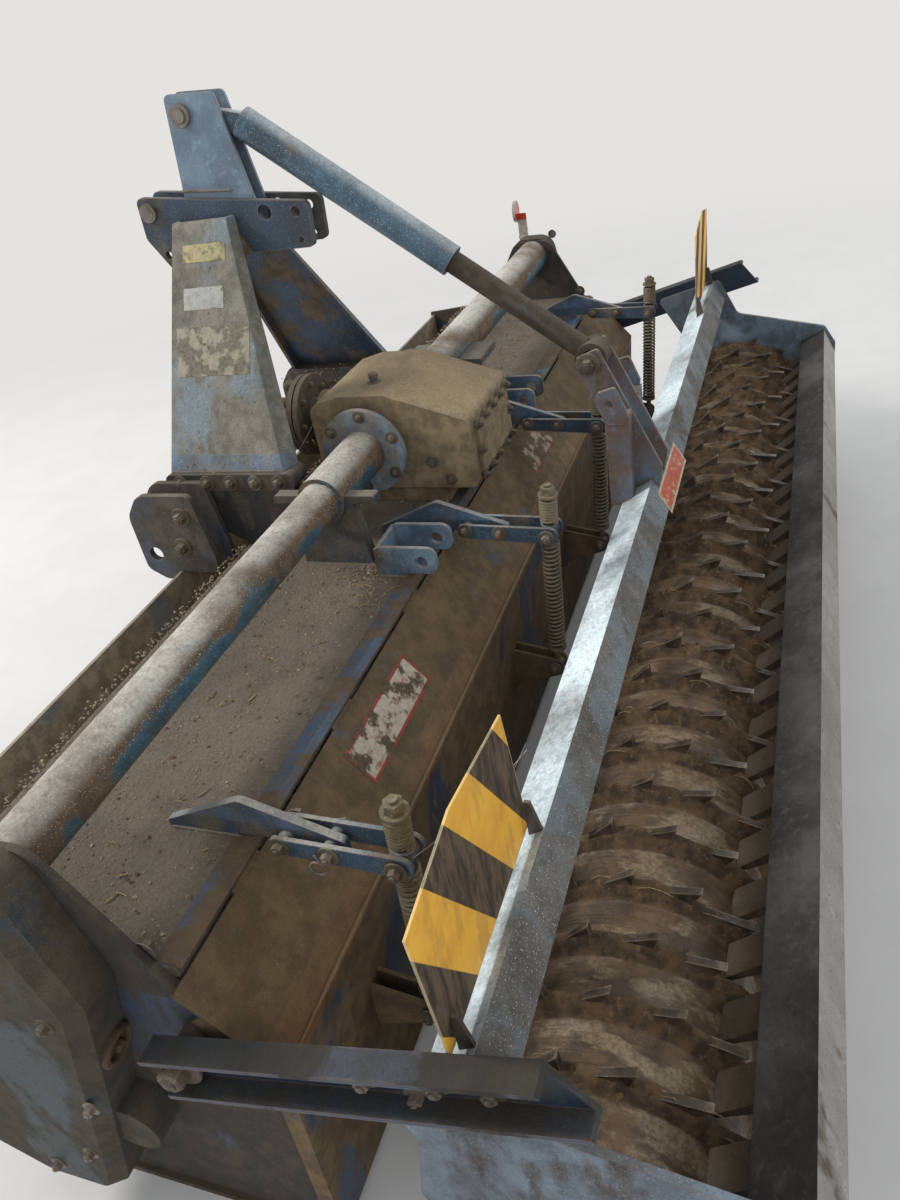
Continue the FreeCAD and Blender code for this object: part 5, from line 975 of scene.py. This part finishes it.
mesh = bmesh.new()
for k in range(1500):
    y = dice.choice((dice.gauss(-655, 16), dice.gauss(-604, 10)))
    y = min(-583, max(-690, y))
    pebble(mesh, (dice.uniform(-1425, 1425), y, 548 + dice.uniform(0, 8)), dice.uniform(2.0, 8.0))
for k in range(1100):
    pebble(mesh, (dice.uniform(-1425, 1425), dice.gauss(-556, 7), 681), dice.uniform(1.5, 5.0))
piece("trough_crumbs", mesh, "frame", "crumbs", 60)

# name, number, range along the machine, sizes
HOOD_CRUMBS = (
    ("hood_crumbs", 3600, (-545, -102), (1.4, 2.0, 2.8, 4.2), "crumbs"),
    ("hood_clods", 700, (-545, -102), (2.6, 4.0, 5.5), "soil"),
)
for name, count, reach, sizes, finish in HOOD_CRUMBS:
    mesh = bmesh.new()
    for k in range(count):
        x = dice.uniform(-1425, 1425)
        y = dice.uniform(*reach)
        pebble(mesh, (x, y, 680.4), dice.choice(sizes) * dice.uniform(0.7, 1.2))
    for side in (1, -1):
        for k in range(90):
            pebble(mesh, (side * dice.gauss(470, 26), dice.gauss(-180, 22), 681), dice.uniform(1.5, 4.5))
    piece(name, mesh, "frame", finish, 60)

mesh = bmesh.new()
for k in range(90):
    along = dice.uniform(0, 1) ** 2 * 500
    pebble(mesh, on_leg(dice.uniform(-680, -450 - along * 0.12), along), dice.uniform(1.2, 3.6))
for k in range(160):
    x = dice.choice((-1, 1)) * dice.uniform(180, 362)
    pebble(mesh, (x, dice.uniform(-705, -380), 868.5), dice.uniform(1.5, 4.5))
piece("mast_crumbs", mesh, "frame", "crumbs", 60)

mesh = bmesh.new()
for k in range(170):
    stalk(mesh, (dice.uniform(-1400, 1400), dice.uniform(-530, -105), 682), dice.uniform(8, 30),
          dice.uniform(0, math.pi), dice.uniform(0, 6), dice.uniform(0.6, 1.3))
for k in range(60):
    stalk(mesh, (dice.uniform(-1400, 1400), dice.uniform(-680, -590), 562), dice.uniform(10, 40),
          dice.uniform(0, math.pi), dice.uniform(0, 6), dice.uniform(0.7, 1.3))
for side in (1, -1):
    for k in range(26):
        stalk(mesh, (side * dice.gauss(545, 40), dice.gauss(-150, 30), 683), dice.uniform(14, 48),
              dice.uniform(0, math.pi), dice.uniform(1, 9), dice.uniform(0.6, 1.2))
piece("straw_bits", mesh, "frame", "straw", 60)


# Soil packed on the drum: low in the blades' tracks, high round the tooth rings
DRUM = Vector((0, 470, 245))
DRUM_R = 190.0
RING_COUNT = 28
RING_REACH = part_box("tooth_rings")[1][0] / MM
RING_T = 14.0
RING_PITCH = (2 * RING_REACH - RING_T) / (RING_COUNT - 1)
BANK_FOOT = RING_PITCH / 2 - 31.5
TRACK_TOP = 195.4


def on_drum(x, radius, angle):
    """A point at a radius and angle about the roller's axis."""
    return DRUM + Vector((x, radius * math.cos(angle), radius * math.sin(angle)))


def soil_height(x, aside, angle):
    """Radius of the packed soil at a place on the drum, aside from the nearest ring."""
    round_y, round_z = math.cos(angle) * 4.2, math.sin(angle) * 4.2
    rough = noise.fractal(Vector((x * 0.02, round_y, round_z)), 0.8, 2.1, 5)
    patch = noise.noise(Vector((x * 0.006, round_y * 0.45, round_z * 0.45 + 7)))
    if aside >= BANK_FOOT:
        dish = 3.4 * ((aside - BANK_FOOT) / (RING_PITCH / 2 - BANK_FOOT)) ** 0.6
        return max(DRUM_R + 0.5, min(TRACK_TOP, DRUM_R + 4.6 + 2.0 * patch + 1.4 * rough) - dish)
    bank = 1 - aside / BANK_FOOT
    top = 28 + 10 * patch + 7 * rough
    return min(TRACK_TOP, DRUM_R + 3.4 + 2.0 * patch) + top * math.sin(bank * math.pi / 2) ** 1.3


mesh = bmesh.new()
ASIDE = (-1.0, -0.84, -0.68, -0.54, -0.42, -0.33, -0.22, -0.1, 0.0, 0.1, 0.22, 0.33, 0.42, 0.54, 0.68, 0.84)
AROUND = 150
last = None
for ring in range(RING_COUNT):
    middle = (ring - (RING_COUNT - 1) / 2) * RING_PITCH
    for part in ASIDE:
        x = middle + part * RING_PITCH / 2
        if abs(x) > RING_REACH + 4:
            continue
        strip = []
        for k in range(AROUND):
            angle = 2 * math.pi * k / AROUND
            radius = soil_height(x, abs(part) * RING_PITCH / 2, angle)
            strip.append(mesh.verts.new(on_drum(x, radius, angle) * MM))
        if last:
            for k in range(AROUND):
                n = (k + 1) % AROUND
                mesh.faces.new((last[k], last[n], strip[n], strip[k]))
        last = strip
piece("drum_soil", mesh, "packer_roller", "packed", 80)

# Clods and straw caught beside the teeth
mesh = bmesh.new()
for k in range(900):
    middle = (dice.randrange(RING_COUNT) - (RING_COUNT - 1) / 2) * RING_PITCH
    x = middle + dice.uniform(-13, 13)
    angle = dice.uniform(0, 2 * math.pi)
    pebble(mesh, on_drum(x, dice.uniform(208, 222), angle), dice.uniform(2.5, 7.0))
piece("ring_clods", mesh, "packer_roller", "packed", 60)

mesh = bmesh.new()
for k in range(300):
    middle = (dice.randrange(RING_COUNT) - (RING_COUNT - 1) / 2) * RING_PITCH
    x = middle + dice.uniform(-14, 14)
    angle = dice.uniform(0, 2 * math.pi)
    length = dice.uniform(18, 60)
    points = []
    for i in range(4):
        turn = angle + (i / 3 - 0.5) * length / 215
        points.append(on_drum(x + dice.uniform(-2, 2), 216 + 9 * math.sin(math.pi * i / 3), turn))
    sweep(mesh, points, [0.9, 0.9, 0.8, 0.5], 4)
piece("ring_straw", mesh, "packer_roller", "straw", 60)

# A clip ring on a hooked wire by each outer spring station
mesh = bmesh.new()
for x in (1240, -1240):
    ring = []
    for k in range(15):
        angle = math.radians(20 + 320 * k / 14)
        ring.append((x + 2, 60 + 13 * math.cos(angle), 672 + 13 * math.sin(angle)))
    sweep(mesh, [(x + 2, 60, 700)] + ring, 1.8, 8)
piece("clip_rings", mesh, "frame", "pin")

# Cobwebs
mesh = bmesh.new()
WEBS = (
    ((1085, 352, 812), (1180, 250, 640)),
    ((1085, 352, 800), (1220, 208, 700)),
    ((300, -470, 820), (170, -400, 900)),
)
for start, end in WEBS:
    start, end = Vector(start), Vector(end)
    points = []
    for k in range(9):
        t = k / 8
        points.append(start.lerp(end, t) + Vector((0, 0, -14 * math.sin(math.pi * t))))
    sweep(mesh, points, [0.5 + 0.35 * abs(noise.noise(p * 0.05)) for p in points], 4)
piece("cobwebs", mesh, "frame", "web", 60)


# Stage, light and camera

BACKDROP = colour(228, 227, 224)
FLOOR_NEAR = 2.6
FLOOR_FAR = 6.5


def shows_backdrop(tree):
    """1 for rays from the camera and for those that gloss or glass sends on, 0 for the light's own."""
    path = tree.nodes.new("ShaderNodeLightPath")
    total = path.outputs["Is Camera Ray"]
    for kind in ("Is Glossy Ray", "Is Transmission Ray"):
        joined = tree.nodes.new("ShaderNodeMath")
        joined.operation = "MAXIMUM"
        tree.links.new(total, joined.inputs[0])
        tree.links.new(path.outputs[kind], joined.inputs[1])
        total = joined.outputs[0]
    return total


def floor_finish():
    """A plain pale floor that runs into the backdrop away from the machine."""
    made = Finish("floor_paint", rough=0.9)
    made.coat(1.0, colour(210, 209, 206), colour(206, 205, 202), 3.0)
    flat = made.add("ShaderNodeVectorMath", {0: made.spot, 1: (1, 1, 0)}, operation="MULTIPLY")
    away = made.add("ShaderNodeVectorMath", {0: flat.outputs[0]}, operation="LENGTH").outputs["Value"]
    share = made.calc("MULTIPLY", made.step(away, FLOOR_NEAR, FLOOR_FAR), shows_backdrop(made.tree))
    plain = made.add("ShaderNodeEmission", {"Color": BACKDROP, "Strength": 1.0}).outputs[0]
    material = made.done()
    mixed = made.add("ShaderNodeMixShader", {0: share, 1: made.shader.outputs[0], 2: plain})
    made.tree.links.new(mixed.outputs[0], made.tree.nodes["Material Output"].inputs["Surface"])
    return material


mesh = bmesh.new()
bmesh.ops.create_grid(mesh, x_segments=4, y_segments=4, size=14.0)
data = bpy.data.meshes.new("floor")
mesh.to_mesh(data)
mesh.free()
floor = bpy.data.objects.new("floor", data)
data.materials.append(floor_finish())
scene.collection.objects.link(floor)
floor.location.z = -0.0005

world = bpy.data.worlds.new("studio")
scene.world = world
world.use_nodes = True
tree = world.node_tree
sky = tree.nodes["Background"]
sky.inputs["Color"].default_value = (0.93, 0.95, 1.0, 1.0)
sky.inputs["Strength"].default_value = 0.68
backdrop = tree.nodes.new("ShaderNodeBackground")
backdrop.inputs["Color"].default_value = BACKDROP
backdrop.inputs["Strength"].default_value = 1.0
mix = tree.nodes.new("ShaderNodeMixShader")
tree.links.new(shows_backdrop(tree), mix.inputs[0])
tree.links.new(sky.outputs[0], mix.inputs[1])
tree.links.new(backdrop.outputs[0], mix.inputs[2])
tree.links.new(mix.outputs[0], tree.nodes["World Output"].inputs["Surface"])

# name, place, aim, size, power, colour; in metres and watts
LAMPS = (
    ("key", (1.6, -7.0, 6.0), (0.0, 0.0, 0.5), 2.0, 600.0, (1.0, 0.97, 0.93)),
    ("fill", (4.6, 2.6, 3.4), (0.0, 0.0, 0.5), 3.5, 48.0, (0.95, 0.97, 1.0)),
    ("rim", (-4.2, 2.2, 3.6), (0.0, 0.0, 0.5), 3.0, 60.0, (0.96, 0.98, 1.0)),
)
for name, place, aim, size, power, tint in LAMPS:
    lamp = bpy.data.lights.new(name, "AREA")
    lamp.shape = "DISK"
    lamp.size = size
    lamp.energy = power
    lamp.color = tint
    made = bpy.data.objects.new(name, lamp)
    made.location = place
    made.rotation_euler = (Vector(aim) - Vector(place)).to_track_quat("-Z", "Y").to_euler()
    scene.collection.objects.link(made)

lens = bpy.data.cameras.new("camera")
lens.sensor_width = 36.0
lens.lens = 27.84
lens.clip_start = 0.05
lens.clip_end = 60.0
camera = bpy.data.objects.new("camera", lens)
RIGHT = Vector((-0.311, 0.936, -0.166)).normalized()
AHEAD = Vector((-0.765, -0.350, -0.541)).normalized()
HIGH = RIGHT.cross(AHEAD).normalized()
heading = Matrix((RIGHT, HIGH, -AHEAD)).transposed().to_4x4()
camera.matrix_world = Matrix.Translation((2.00, 0.70, 1.70)) @ heading
scene.collection.objects.link(camera)
scene.camera = camera
scene.view_settings.view_transform = "Standard"
